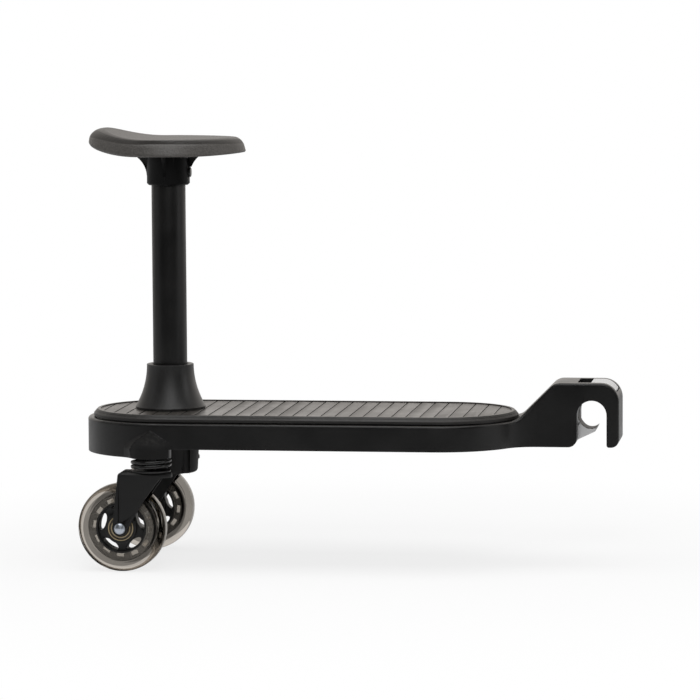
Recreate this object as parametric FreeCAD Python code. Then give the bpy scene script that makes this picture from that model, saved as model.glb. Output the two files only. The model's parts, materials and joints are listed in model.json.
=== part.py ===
import FreeCAD, Part
import math
import os

# A buggy board: a deck on two sprung casters, with a seat on a post and a hook for the pushchair.
# X runs from the casters to the hook, Y across, Z up; the origin is on the floor at mid length.

V = FreeCAD.Vector
OVERRUN = 5.0
SAME_PLACE = 0.01

# Deck
DECK_LENGTH = 451.0
DECK_HALF_WIDTH = 85.0
DECK_BOTTOM_Z = 125.0
DECK_WALL_HEIGHT = 26.0
DECK_WALL = 3.5
DECK_PLATE = 4.0
RIM_WIDTH = 7.5
RIM_ROUND = 2.5
PLATEAU_RISE = 2.5
RIB_THICKNESS = 2.5
RIB_LIFT = 2.0
CROSS_RIB_PITCH = 50.0
LONG_RIB_OFFSET = 44.0

# Rear skirt and caster pods
POD_RADIUS = 20.5
POD_BOTTOM_Z = 116.0
POD_REAR_BLEND = 45.0
POD_FRONT_BLEND = 14.0
POD_SINK = 0.6
POD_FADE = 21.0
POD_SECTIONS = 5
POD_ROOT_SHARE = 0.35

# Casters
WHEEL_RADIUS = 45.0
CASTER_INSET = 7.0
SWIVEL_SETBACK = 6.0
TRAIL = 30.0
SUSPENSION_TRAVEL = 2.0
RUNNING_CLEARANCE = 0.05
SIDE_CLEARANCE = 0.3

# Caster spring between the pod and its seat
SPRING_WIRE = 3.4
SPRING_RADIUS = 18.6
SPRING_TURNS = 2
SPRING_CLEARANCE = 0.1
SPRING_SEAT_THICKNESS = 1.5
SPRING_SEAT_RADIUS = 20.0

# Fork
FORK_TOP_Z = 102.0
FORK_HALF_WIDTH = 17.0
FORK_SHEET = 3.0
FORK_CROWN = 4.0
FORK_NOSE = 21.5
FORK_NOSE_ROUND = 9.0
FORK_BEND_SETBACK = 12.0
FORK_REAR_TOP = 31.5
FORK_EYE = 7.8
FORK_EDGE_ROUND = 3.4
FORK_FRONT_DROP = 6.0
FORK_LIP_SETBACK = 10.0
FORK_FRONT_SAG = 1.8

# Swivel stem
STEM_RADIUS = 5.0
STEM_HEAD_RADIUS = 8.0
STEM_HEAD_THICKNESS = 3.0
STEM_HEAD_GAP = 1.0
STEM_FOOT_RADIUS = 7.0
STEM_FOOT_THICKNESS = 2.0
BUSH_RADIUS = 9.0
BUSH_LENGTH = 14.0

# Axle
AXLE_RADIUS = 4.0
AXLE_HEAD_RADIUS = 5.9
AXLE_HEAD_HEIGHT = 3.5
SLEEVE_RADIUS = 5.0
SPACER_RADIUS = 7.5

# Wheel
WHEEL_WIDTH = 24.0
CORE_RADIUS = 35.0
CORE_FLANGE = 6.0
CORE_RIM_WIDTH = 19.0
CORE_RIM_RADIUS = 26.0
CORE_RIM_WALL = 2.0
CORE_WEB = 11.0
HUB_RADIUS = 16.0
BEARING_RADIUS = 13.0
BEARING_WIDTH = 8.0
BEARING_LAND = 10.5
BEARING_RACE_WALL = 1.2
BEARING_CAP_RADIUS = 10.2
BEARING_SHIELD_DEPTH = 0.8
OVAL_COUNT = 5
OVAL_PHASE = 164.0
OVAL_RING_RADIUS = 20.3
OVAL_LENGTH = 17.6
OVAL_WIDTH = 6.9
WINDOW_COUNT = 12
WINDOW_PHASE = 25.0
WINDOW_RING_RADIUS = 28.9
WINDOW_LENGTH = 8.0
WINDOW_HEIGHT = 4.0
TREAD_FLAT = 8.0
TYRE_SIDE_ROUND = 7.0
TYRE_CHEEK_WIDTH = 20.0
TYRE_LIP_RADIUS = 34.5

# Mat
MAT_THICKNESS = 4.5
MAT_MARGIN = 6.0
MAT_BEVEL_RUN = 3.0
MAT_BEVEL_RISE = 3.2
GROOVE_PITCH = 14.4
GROOVE_WIDTH = 1.3
GROOVE_DEPTH = 1.0

# Seat post, collar and socket
POST_RADIUS = 17.5
POST_WALL = 2.0
POST_PLUG_FLANGE = 3.0
POST_PLUG_DEPTH = 14.0
POST_SEAT_GAP = 8.5
COLLAR_TOP_RADIUS = 24.1
COLLAR_FOOT_RADIUS = 36.2
COLLAR_HEIGHT = 46.0
COLLAR_FOOT_EDGE = 2.5
COLLAR_TOP_ROUND = 3.0
COLLAR_SPIGOT_RADIUS = 32.5
COLLAR_SPIGOT_CLEARANCE = 0.4
SOCKET_BOTTOM_Z = 92.0
SOCKET_FLOOR = 4.0
SOCKET_TOP_RADIUS = 30.2
SOCKET_FOOT_RADIUS = 27.2
SOCKET_FOOT_ROUND = 4.0
SOCKET_FLANGE_RADIUS = 42.0
SOCKET_FLANGE = 4.0
SOCKET_RIB_COUNT = 4
SOCKET_RIB_THICKNESS = 3.0
SCREW_RING_RADIUS = 27.0
SCREW_COUNT = 4
SCREW_RADIUS = 2.0
SCREW_HEAD_RADIUS = 4.0
SCREW_HEAD_HEIGHT = 2.6
SCREW_GRIP = 12.0
SCREW_HEAD_CLEARANCE = 0.4

# Seat bracket
BRACKET_DEPTH = 31.0
BRACKET_RADIUS = 22.0
BRACKET_LIP = 1.8
BRACKET_PLATE = 4.0
BRACKET_PLATE_RADIUS = 38.0
BRACKET_RIB_COUNT = 4
BRACKET_RIB_THICKNESS = 3.2
BRACKET_RIB_REACH = 34.5
BRACKET_RIB_DROP = 23.0
BOLT_LIFT = 13.0
BOLT_RADIUS = 3.0
BOLT_HEAD_RADIUS = 5.2
BOLT_HEAD_HEIGHT = 3.0
BOLT_HEAD_REACH = 20.8
NUT_REACH = 18.6
NUT_HEIGHT = 3.2
NUT_RADIUS = 5.8
SEAT_SCREW_RING_RADIUS = 29.0

# Seat
SEAT_BACK_REACH = 83.0
SEAT_NOSE_REACH = 80.0
SEAT_BACK_RADIUS = 63.0
SEAT_NOSE_RADIUS = 56.0
SEAT_SIDE_RADIUS = 86.0
SEAT_BOTTOM_Z = 419.5
SEAT_THICKNESS = 17.5
SEAT_BLANK_RISE = 23.0
SEAT_DRAFT = 9.0
SEAT_DISH_START = 14.0
SEAT_DISH_RADIUS = 160.0
SEAT_KEEL_LIFT = 6.5
SEAT_KEEL_RUN = 60.0
SEAT_NOSE_LIFT = 2.5
SEAT_NOSE_RUN = 50.0
SEAT_EDGE_ROUND = 9.0
SEAT_SCREW_DEPTH = 9.0

# Arm and hook
ARM_REACH = 98.5
ARM_HALF_WIDTH = 30.0
ARM_FLARE = 35.0
ARM_RISE = 39.0
SLOPE_RUN = 51.4
CREST_SETBACK = 32.0
CREST_RADIUS = 14.0
SLOPE_FOOT_RADIUS = 16.0
HOOK_RADIUS = 15.0
HOOK_DROP = 32.5
LEG_THICKNESS = 12.5
LEG_OUTER_CORNER = 8.0
LEG_INNER_CORNER = 2.5
COLUMN_CORNER = 9.0
SHOULDER_RADIUS = 19.0

# Latch in the hook
LATCH_TRAVEL = 13.0
LATCH_STOP = 0.5
LATCH_CLEARANCE = 0.4
SLOT_HALF_WIDTH = 20.5
SLOT_DEPTH = 13.0
SEAM_SETBACK = 2.6
BUTTON_THICKNESS = 4.0
JAW_HALF_WIDTH = 12.0
JAW_ROOT = 12.0
JAW_REACH = 24.2
JAW_TIP_SETBACK = 3.7
JAW_TIP_HEIGHT = 6.0
JAW_FLOOR_GAP = 3.0
JAW_GAP = 0.3
JAW_TOP_RISE = 8.5
LINK_THICKNESS = 5.0
LINK_FLOOR_GAP = 1.0
LINK_LAP = 9.0
LATCH_SPRING_LIFT = 22.0
LATCH_SPRING_WIRE = 1.1
LATCH_SPRING_RADIUS = 4.2
LATCH_SPRING_TURNS = 8
LATCH_SPRING_LENGTH = 31.0
LATCH_POCKET_RADIUS = 5.6
LATCH_PEG_RADIUS = 3.0
LATCH_PEG_LENGTH = 7.0
COVER_THICKNESS = 3.0
COVER_MARGIN = 6.0
COVER_SCREW_INSET = 3.4
COVER_SCREW_RADIUS = 1.3
COVER_SCREW_HEAD_RADIUS = 2.5
COVER_SCREW_HEAD = 1.4
COVER_SCREW_LENGTH = 9.0

# Places worked out from the sizes above
OVERALL_LENGTH = DECK_LENGTH + ARM_REACH
REAR_X = -OVERALL_LENGTH / 2
HOOK_END_X = OVERALL_LENGTH / 2
POST_X = REAR_X + DECK_HALF_WIDTH
FRONT_ARC_X = REAR_X + DECK_LENGTH - DECK_HALF_WIDTH
SWIVEL_X = POST_X - SWIVEL_SETBACK
AXLE_X = SWIVEL_X - TRAIL
CASTER_Y = DECK_HALF_WIDTH - CASTER_INSET
DECK_TOP_Z = DECK_BOTTOM_Z + DECK_WALL_HEIGHT
ARM_TOP_Z = DECK_TOP_Z + ARM_RISE
HOOK_Z = ARM_TOP_Z - HOOK_DROP
JAW_TOP_Z = HOOK_Z + JAW_TOP_RISE
LATCH_SPRING_Z = DECK_BOTTOM_Z + LATCH_SPRING_LIFT
PLATEAU_Z = DECK_TOP_Z + PLATEAU_RISE
CAVITY_Z = DECK_TOP_Z - DECK_PLATE
MAT_TOP_Z = PLATEAU_Z + MAT_THICKNESS
HOOK_X = HOOK_END_X - LEG_THICKNESS - HOOK_RADIUS
COLUMN_X = HOOK_X - HOOK_RADIUS
SHOULDER_X = HOOK_END_X - SHOULDER_RADIUS
SHOULDER_Z = ARM_TOP_Z - SHOULDER_RADIUS
SLOT_FLOOR_Z = ARM_TOP_Z - SLOT_DEPTH
SLOT_FRONT_X = HOOK_END_X - SEAM_SETBACK
BUTTON_REAR_X = COLUMN_X + LATCH_TRAVEL + LATCH_STOP
JAW_BACK_X = COLUMN_X - JAW_ROOT
CHAMBER_REAR_X = JAW_BACK_X - LATCH_TRAVEL - LATCH_STOP
LINK_BOTTOM_Z = SLOT_FLOOR_Z + LINK_FLOOR_GAP
LINK_TOP_Z = LINK_BOTTOM_Z + LINK_THICKNESS
COVER_TOP_Z = DECK_BOTTOM_Z + COVER_THICKNESS
JAW_ROOT_BOTTOM_Z = COVER_TOP_Z + JAW_FLOOR_GAP
JAW_CURVE_RADIUS = HOOK_RADIUS + JAW_GAP
SEAT_TOP_Z = SEAT_BOTTOM_Z + SEAT_THICKNESS
SEAT_BLANK_Z = SEAT_TOP_Z + SEAT_BLANK_RISE
POST_TOP_Z = SEAT_BOTTOM_Z - POST_SEAT_GAP
BRACKET_BOTTOM_Z = SEAT_BOTTOM_Z - BRACKET_DEPTH
BOLT_Z = BRACKET_BOTTOM_Z + BOLT_LIFT
BRACKET_PLATE_Z = SEAT_BOTTOM_Z
BRACKET_TOP_Z = BRACKET_PLATE_Z + BRACKET_PLATE
SPRING_SEAT_TOP_Z = FORK_TOP_Z + SPRING_SEAT_THICKNESS
BUSH_TOP_Z = POD_BOTTOM_Z + BUSH_LENGTH
STEM_BORE_TOP_Z = BUSH_TOP_Z + STEM_HEAD_THICKNESS + SUSPENSION_TRAVEL + STEM_HEAD_GAP
FORK_INNER = FORK_HALF_WIDTH - FORK_SHEET

nodes = {}


# General helpers

def line(a, b):
    return Part.LineSegment(a, b).toShape()


def arc(a, b, c):
    return Part.Arc(a, b, c).toShape()


def box(x0, x1, y0, y1, z0, z1):
    """A block between two corners."""
    return Part.makeBox(x1 - x0, y1 - y0, z1 - z0, V(x0, y0, z0))


def upright(radius, x, y, z0, z1):
    """A cylinder along Z."""
    return Part.makeCylinder(radius, z1 - z0, V(x, y, z0))


def crosswise(radius, x, z, y0, y1):
    """A cylinder along Y."""
    return Part.makeCylinder(radius, y1 - y0, V(x, y0, z), V(0, 1, 0))


def lengthwise(radius, y, z, x0, x1):
    """A cylinder along X."""
    return Part.makeCylinder(radius, x1 - x0, V(x0, y, z), V(1, 0, 0))


def turned(points, x, y):
    """A solid of revolution about the upright axis at x, y, from (radius, height) corners."""
    corners = [V(x + r, y, z) for r, z in points]
    face = Part.Face(Part.makePolygon(corners + corners[:1]))
    return face.revolve(V(x, y, 0), V(0, 0, 1), 360)


def plate(edges, direction):
    """A prism of a closed run of edges."""
    return Part.Face(Part.Wire(edges)).extrude(direction)


def on_circle(centre, radius, degrees):
    """A point at an angle on a circle that lies in the XZ plane."""
    angle = math.radians(degrees)
    return V(centre.x + radius * math.cos(angle), centre.y, centre.z + radius * math.sin(angle))


def side_arc(centre, radius, start, end):
    """An arc in the XZ plane between two angles."""
    angles = (start, (start + end) / 2, end)
    return arc(*[on_circle(centre, radius, a) for a in angles])


def circles_meet(x0, y0, r0, x1, y1, r1, side):
    """Where two circles in plan cross, on the chosen side of the line between their centres."""
    span = math.hypot(x1 - x0, y1 - y0)
    along = (r0 ** 2 - r1 ** 2 + span ** 2) / (2 * span)
    off = side * math.sqrt(r0 ** 2 - along ** 2)
    ux, uy = (x1 - x0) / span, (y1 - y0) / span
    return x0 + along * ux - off * uy, y0 + along * uy + off * ux


def between(x0, y0, x1, y1, distance):
    """The point that lies a distance from the first point towards the second."""
    span = math.hypot(x1 - x0, y1 - y0)
    return x0 + (x1 - x0) * distance / span, y0 + (y1 - y0) * distance / span


def mirrored(shape):
    """The same piece on the other side of the board."""
    return shape.mirror(V(0, 0, 0), V(0, 1, 0))


def ring_of(shape, count, x, y, phase=0.0):
    """Copies of a shape turned about an upright axis."""
    copies = []
    for index in range(count):
        copy = shape.copy()
        copy.rotate(V(x, y, 0), V(0, 0, 1), phase + index * 360 / count)
        copies.append(copy)
    return copies


def biarc(p0, t0, p1, t1):
    """Two arcs that join two points and follow the directions given there."""
    v = p1 - p0
    a = 2 * (1 - t0.dot(t1))
    b = 2 * v.dot(t0 + t1)
    reach = (-b + math.sqrt(b * b + 4 * a * v.dot(v))) / (2 * a)
    q0 = p0 + t0 * reach
    q1 = p1 - t1 * reach
    middle = (q0 + q1) * 0.5
    edges = []
    for start, apex, end in ((p0, q0, middle), (middle, q1, p1)):
        chord = (start + end) * 0.5
        half = (end - start).Length / 2
        rise = apex - chord
        sagitta = half * math.tan(math.atan2(rise.Length, half) / 2)
        edges.append(arc(start, chord + rise.normalize() * sagitta, end))
    return edges


def coil(origin, axis, across, radius, wire, turns, height):
    """A coil spring as one tube that starts on the across direction."""
    third = axis.cross(across)
    climb = height / (2 * math.pi * turns)

    def place(angle):
        outward = across * (radius * math.cos(angle)) + third * (radius * math.sin(angle))
        return origin + outward + axis * (climb * angle)

    def heading(angle):
        way = third * (radius * math.cos(angle)) - across * (radius * math.sin(angle)) + axis * climb
        return way.normalize()

    edges = []
    for quarter in range(4 * turns):
        low, high = quarter * math.pi / 2, (quarter + 1) * math.pi / 2
        edges += biarc(place(low), heading(low), place(high), heading(high))
    path = Part.Wire(edges)
    section = Part.Wire(Part.makeCircle(wire / 2, place(0), heading(0)))
    tube = path.makePipeShell([section], True, False)
    steps = 24
    points = [place(2 * math.pi * i / steps) for i in range(steps * turns + 1)]
    gaps = [(points[i] - points[j]).Length - wire
            for i in range(len(points)) for j in range(i + steps // 2, len(points))]
    print("coil gap to itself %.2f, tube volume ratio %.4f"
          % (min(gaps), tube.Volume / (math.pi * wire ** 2 / 4 * path.Length)))
    return tube


# Deck with its arm and hook

def stadium(inset, z):
    """The deck's outline in plan, drawn in by an inset."""
    r = DECK_HALF_WIDTH - inset
    near_rear, near_front = V(POST_X, -r, z), V(FRONT_ARC_X, -r, z)
    far_front, far_rear = V(FRONT_ARC_X, r, z), V(POST_X, r, z)
    return Part.Wire([
        line(near_rear, near_front),
        arc(near_front, V(FRONT_ARC_X + r, 0, z), far_front),
        line(far_front, far_rear),
        arc(far_rear, V(POST_X - r, 0, z), near_rear),
    ])


def stadium_block(inset, z0, z1):
    return Part.Face(stadium(inset, z0)).extrude(V(0, 0, z1 - z0))


def deck_outline(z):
    """The deck and arm in plan: round ends, straight sides and a flared root, all tangent."""
    flare_y = ARM_HALF_WIDTH + ARM_FLARE
    flare_x = FRONT_ARC_X + math.sqrt((DECK_HALF_WIDTH + ARM_FLARE) ** 2 - flare_y ** 2)
    root = between(FRONT_ARC_X, 0, flare_x, flare_y, DECK_HALF_WIDTH)
    bow = between(FRONT_ARC_X, 0, *halfway((FRONT_ARC_X, DECK_HALF_WIDTH), root), DECK_HALF_WIDTH)
    bend = between(flare_x, flare_y, *halfway((flare_x, ARM_HALF_WIDTH), root), ARM_FLARE)
    end_x = HOOK_END_X + OVERRUN
    far = [V(end_x, ARM_HALF_WIDTH, z), V(flare_x, ARM_HALF_WIDTH, z), V(*bend, z), V(*root, z),
           V(*bow, z), V(FRONT_ARC_X, DECK_HALF_WIDTH, z), V(POST_X, DECK_HALF_WIDTH, z)]
    near = [V(p.x, -p.y, p.z) for p in far]
    return Part.Wire([
        line(near[0], far[0]), line(far[0], far[1]), arc(*far[1:4]), arc(*far[3:6]),
        line(far[5], far[6]), arc(far[6], V(REAR_X, 0, z), near[6]),
        line(near[6], near[5]), arc(*near[5:2:-1]), arc(*near[3:0:-1]), line(near[1], near[0]),
    ])


def deck_profile():
    """The deck and arm from the side, with the slope, crest and shoulder but no mouth yet."""
    crest = V(HOOK_X - CREST_SETBACK, 0, ARM_TOP_Z - CREST_RADIUS)
    foot = V(crest.x - SLOPE_RUN, 0, DECK_TOP_Z + SLOPE_FOOT_RADIUS)
    climb = math.atan2(crest.z - foot.z, SLOPE_RUN)
    bend = math.asin((CREST_RADIUS + SLOPE_FOOT_RADIUS) / (crest - foot).Length)
    slope = math.degrees(climb + bend)
    crest_end = on_circle(crest, CREST_RADIUS, 90 + slope)
    foot_end = on_circle(foot, SLOPE_FOOT_RADIUS, slope - 90)
    shoulder = V(SHOULDER_X, 0, SHOULDER_Z)
    rear_low = V(REAR_X - OVERRUN, 0, DECK_BOTTOM_Z)
    rear_high = V(REAR_X - OVERRUN, 0, DECK_TOP_Z)
    toe = V(HOOK_END_X, 0, DECK_BOTTOM_Z)
    return [
        line(rear_low, toe),
        line(toe, V(HOOK_END_X, 0, SHOULDER_Z)),
        side_arc(shoulder, SHOULDER_RADIUS, 0, 90),
        line(V(SHOULDER_X, 0, ARM_TOP_Z), V(crest.x, 0, ARM_TOP_Z)),
        side_arc(crest, CREST_RADIUS, 90, 90 + slope),
        line(crest_end, foot_end),
        side_arc(foot, SLOPE_FOOT_RADIUS, slope - 90, -90),
        line(V(foot.x, 0, DECK_TOP_Z), rear_high),
        line(rear_high, rear_low),
    ]


def across(edges, half_width):
    """A side view pulled out to both sides."""
    block = plate(edges, V(0, 2 * half_width, 0))
    block.translate(V(0, -half_width, 0))
    return block


def hook_mouth():
    """What is cut from the arm's end: the hook's mouth and the leg's outer corner."""
    low = DECK_BOTTOM_Z - OVERRUN
    leg_x = HOOK_X + HOOK_RADIUS
    column = V(COLUMN_X - COLUMN_CORNER, 0, DECK_BOTTOM_Z + COLUMN_CORNER)
    inner = V(leg_x + LEG_INNER_CORNER, 0, DECK_BOTTOM_Z + LEG_INNER_CORNER)
    outer = V(HOOK_END_X - LEG_OUTER_CORNER, 0, DECK_BOTTOM_Z + LEG_OUTER_CORNER)
    mouth = across([
        line(V(column.x, 0, low), V(column.x, 0, DECK_BOTTOM_Z)),
        side_arc(column, COLUMN_CORNER, -90, 0),
        line(V(COLUMN_X, 0, column.z), V(COLUMN_X, 0, HOOK_Z)),
        side_arc(V(HOOK_X, 0, HOOK_Z), HOOK_RADIUS, 180, 0),
        line(V(leg_x, 0, HOOK_Z), V(leg_x, 0, inner.z)),
        side_arc(inner, LEG_INNER_CORNER, 180, 270),
        line(V(inner.x, 0, DECK_BOTTOM_Z), V(inner.x, 0, low)),
        line(V(inner.x, 0, low), V(column.x, 0, low)),
    ], DECK_HALF_WIDTH)
    far_x = HOOK_END_X + OVERRUN
    toe = across([
        line(V(outer.x, 0, low), V(outer.x, 0, DECK_BOTTOM_Z)),
        side_arc(outer, LEG_OUTER_CORNER, -90, 0),
        line(V(HOOK_END_X, 0, outer.z), V(far_x, 0, outer.z)),
        line(V(far_x, 0, outer.z), V(far_x, 0, low)),
        line(V(far_x, 0, low), V(outer.x, 0, low)),
    ], DECK_HALF_WIDTH)
    return [mouth, toe]


def deck_blank():
    """The deck and arm as one block, rounded along its upper outline."""
    low = DECK_BOTTOM_Z - OVERRUN
    plan = Part.Face(deck_outline(low)).extrude(V(0, 0, ARM_TOP_Z - low + OVERRUN))
    blank = plan.common(across(deck_profile(), DECK_HALF_WIDTH + OVERRUN))
    rim = []
    for edge in blank.Edges:
        ends = [v.Point for v in edge.Vertexes]
        rises = len(ends) == 2 and abs(ends[0].x - ends[1].x) + abs(ends[0].y - ends[1].y) < SAME_PLACE
        crosses = len(ends) == 2 and abs(ends[0].y + ends[1].y) < SAME_PLACE and ends[0].x > FRONT_ARC_X
        on_end = all(abs(p.x - HOOK_END_X) < SAME_PLACE for p in ends)
        if on_end and rises or not (rises or crosses or edge.BoundBox.ZMin < DECK_TOP_Z - RIM_ROUND):
            rim.append(edge)
    return blank.makeFillet(RIM_ROUND, rim)


def pod_arcs(r, z):
    """The round nose of the near pod at a level, with the blends that run back into the wall."""
    y, wall = -CASTER_Y, DECK_HALF_WIDTH - POD_SINK
    rear = circles_meet(POST_X, 0, wall + POD_REAR_BLEND, SWIVEL_X, y, r + POD_REAR_BLEND, -1)
    rise = CASTER_Y - wall - POD_FRONT_BLEND
    front = (SWIVEL_X + math.sqrt((r + POD_FRONT_BLEND) ** 2 - rise ** 2), y + rise)
    touch_wall = between(*rear, POST_X, 0, POD_REAR_BLEND)
    touch_rear = between(*rear, SWIVEL_X, y, POD_REAR_BLEND)
    touch_front = between(*front, SWIVEL_X, y, POD_FRONT_BLEND)
    run_out = (front[0], -wall)
    mid_rear = between(*rear, *halfway(touch_wall, touch_rear), POD_REAR_BLEND)
    mid_front = between(*front, *halfway(run_out, touch_front), POD_FRONT_BLEND)

    def level(point):
        return V(point[0], point[1], z)

    return (arc(level(touch_wall), level(mid_rear), level(touch_rear)),
            arc(level(touch_rear), V(SWIVEL_X, y - r, z), level(touch_front)),
            arc(level(touch_front), level(mid_front), level(run_out)))


def halfway(a, b):
    return (a[0] + b[0]) / 2, (a[1] + b[1]) / 2


def pod():
    """One caster pod on the near side: a round foot that fades into the deck's wall towards the rim."""
    y = -CASTER_Y
    root = DECK_HALF_WIDTH - CASTER_Y - POD_SINK * (1 - POD_ROOT_SHARE)
    sections = []
    for index in range(POD_SECTIONS + 1):
        share = index / POD_SECTIONS
        radius = root + (POD_RADIUS - root) * (1 + math.cos(math.pi * share)) / 2
        arcs = list(pod_arcs(radius, DECK_BOTTOM_Z + POD_FADE * share))
        arcs.append(line(arcs[2].Vertexes[-1].Point, arcs[0].Vertexes[0].Point))
        sections.append(Part.Wire(arcs))
    bulge = Part.makeLoft(sections, True, False)
    blend, nose, _ = pod_arcs(POD_RADIUS, POD_BOTTOM_Z)
    start, back = nose.Vertexes[0].Point, V(SWIVEL_X, y + POD_RADIUS, POD_BOTTOM_Z)
    half_turn = POD_RADIUS * math.cos(math.pi / 4)
    foot = plate([
        blend,
        arc(start, V(SWIVEL_X + half_turn, y - half_turn, POD_BOTTOM_Z), back),
        line(back, blend.Vertexes[0].Point),
    ], V(0, 0, DECK_BOTTOM_Z - POD_BOTTOM_Z))
    boss = upright(POD_RADIUS, SWIVEL_X, y, DECK_BOTTOM_Z, CAVITY_Z + DECK_PLATE / 2)
    return [bulge, foot, boss.common(stadium_block(DECK_WALL / 2, DECK_BOTTOM_Z, DECK_TOP_Z))]


def deck_ribs():
    """Cross and lengthwise ribs inside the deck, clear of the post socket and the pods."""
    low, high = DECK_BOTTOM_Z + RIB_LIFT, CAVITY_Z + DECK_PLATE / 2
    half = RIB_THICKNESS / 2
    blocks = []
    x = POST_X + SOCKET_FLANGE_RADIUS + CROSS_RIB_PITCH / 2
    while x < FRONT_ARC_X + DECK_HALF_WIDTH / 2:
        blocks.append(box(x - half, x + half, -DECK_HALF_WIDTH, DECK_HALF_WIDTH, low, high))
        x += CROSS_RIB_PITCH
    for y in (-LONG_RIB_OFFSET, 0, LONG_RIB_OFFSET):
        blocks.append(box(POST_X, FRONT_ARC_X + DECK_HALF_WIDTH, y - half, y + half, low, high))
    ribs = blocks[0].fuse(blocks[1:])
    ribs = ribs.common(stadium_block(DECK_WALL / 2, low, high))
    keep_out = upright(SOCKET_FLANGE_RADIUS + SIDE_CLEARANCE, POST_X, 0, low - OVERRUN, CAVITY_Z)
    return ribs.cut(keep_out)


def latch_chamber():
    """What is cut from the arm for the latch: chamber, mouth, thumb slot, spring pocket and cover seat."""
    jaw, lid = JAW_HALF_WIDTH + LATCH_CLEARANCE, JAW_HALF_WIDTH + LATCH_CLEARANCE + COVER_MARGIN
    roof_z, link_z = JAW_TOP_Z + LATCH_CLEARANCE, LINK_TOP_Z + LATCH_CLEARANCE
    chamber = box(CHAMBER_REAR_X, COLUMN_X + OVERRUN / 2, -jaw, jaw, COVER_TOP_Z, link_z)
    roof = box(COLUMN_X, HOOK_X, -jaw, jaw, roof_z, SLOT_FLOOR_Z)
    mouth = box(COLUMN_X, HOOK_X, -jaw, jaw, COVER_TOP_Z, roof_z)
    slot = box(COLUMN_X, SLOT_FRONT_X, -SLOT_HALF_WIDTH, SLOT_HALF_WIDTH, SLOT_FLOOR_Z, ARM_TOP_Z + OVERRUN)
    pocket_x = JAW_BACK_X - LATCH_SPRING_LENGTH
    pocket = lengthwise(LATCH_POCKET_RADIUS, 0, LATCH_SPRING_Z, pocket_x, JAW_BACK_X)
    cover = box(CHAMBER_REAR_X - COVER_MARGIN, COLUMN_X - COLUMN_CORNER, -lid, lid,
                DECK_BOTTOM_Z - OVERRUN, COVER_TOP_Z)
    screws = cover_screw_shanks(COVER_SCREW_RADIUS)
    return chamber.cut(roof).fuse([mouth, slot, pocket, cover] + screws)


def cover_screw_places():
    x0 = CHAMBER_REAR_X - COVER_MARGIN + COVER_SCREW_INSET
    y = JAW_HALF_WIDTH + LATCH_CLEARANCE + COVER_MARGIN - COVER_SCREW_INSET
    return [(x0, -y), (x0, y)]


def cover_screw_shanks(radius):
    return [upright(radius, x, y, DECK_BOTTOM_Z, DECK_BOTTOM_Z + COVER_SCREW_LENGTH)
            for x, y in cover_screw_places()]


def deck_body():
    """The moulded deck: blank, skirt, hollow, ribs, pods, arm with its mouth, and every bore."""
    rear = box(REAR_X - OVERRUN, SWIVEL_X, -DECK_HALF_WIDTH - OVERRUN, DECK_HALF_WIDTH + OVERRUN,
               POD_BOTTOM_Z, DECK_BOTTOM_Z)
    skirt = stadium_block(0, POD_BOTTOM_Z - OVERRUN, DECK_BOTTOM_Z + OVERRUN).common(rear)
    plateau = stadium_block(RIM_WIDTH, DECK_TOP_Z - DECK_PLATE / 2, PLATEAU_Z)
    hollow = stadium_block(DECK_WALL, POD_BOTTOM_Z - OVERRUN, CAVITY_Z)
    body = deck_blank().fuse([skirt, plateau]).removeSplitter().cut([hollow] + hook_mouth())
    near_pod = pod()
    far_pod = [mirrored(piece) for piece in near_pod]
    body = body.fuse([deck_ribs()] + near_pod + far_pod).removeSplitter()
    cuts = [upright(POST_RADIUS + COLLAR_SPIGOT_CLEARANCE, POST_X, 0, CAVITY_Z - OVERRUN, MAT_TOP_Z)]
    for y in (-CASTER_Y, CASTER_Y):
        cuts.append(upright(BUSH_RADIUS, SWIVEL_X, y, POD_BOTTOM_Z - OVERRUN, STEM_BORE_TOP_Z))
    cuts += screw_ring(SCREW_RADIUS, CAVITY_Z - OVERRUN, MAT_TOP_Z)
    cuts.append(latch_chamber())
    return body.cut(cuts)


def screw_ring(radius, z0, z1):
    """Cylinders on the ring of screws round the post."""
    one = upright(radius, POST_X + SCREW_RING_RADIUS, 0, z0, z1)
    return ring_of(one, SCREW_COUNT, POST_X, 0, 360 / SCREW_COUNT / 2)


# Mat

def mat():
    """The tread mat: a bevelled pad with cross grooves and a hole for the collar."""
    low = stadium_block(MAT_MARGIN, PLATEAU_Z, MAT_TOP_Z - MAT_BEVEL_RISE)
    bevel = Part.makeLoft([stadium(MAT_MARGIN, MAT_TOP_Z - MAT_BEVEL_RISE),
                           stadium(MAT_MARGIN + MAT_BEVEL_RUN, MAT_TOP_Z)], True, True)
    pad = low.fuse(bevel).removeSplitter()
    half = GROOVE_WIDTH / 2
    first = POST_X - DECK_HALF_WIDTH + MAT_MARGIN + GROOVE_PITCH
    last = FRONT_ARC_X + DECK_HALF_WIDTH - MAT_MARGIN
    grooves = []
    x = first
    while x < last:
        grooves.append(box(x - half, x + half, -DECK_HALF_WIDTH, DECK_HALF_WIDTH,
                           MAT_TOP_Z - GROOVE_DEPTH, MAT_TOP_Z + OVERRUN))
        x += GROOVE_PITCH
    hole_radius = COLLAR_SPIGOT_RADIUS + COLLAR_SPIGOT_CLEARANCE
    hole = upright(hole_radius, POST_X, 0, PLATEAU_Z - OVERRUN, MAT_TOP_Z + OVERRUN)
    return pad.cut(grooves + [hole])


# Seat post with its collar and socket

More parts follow.
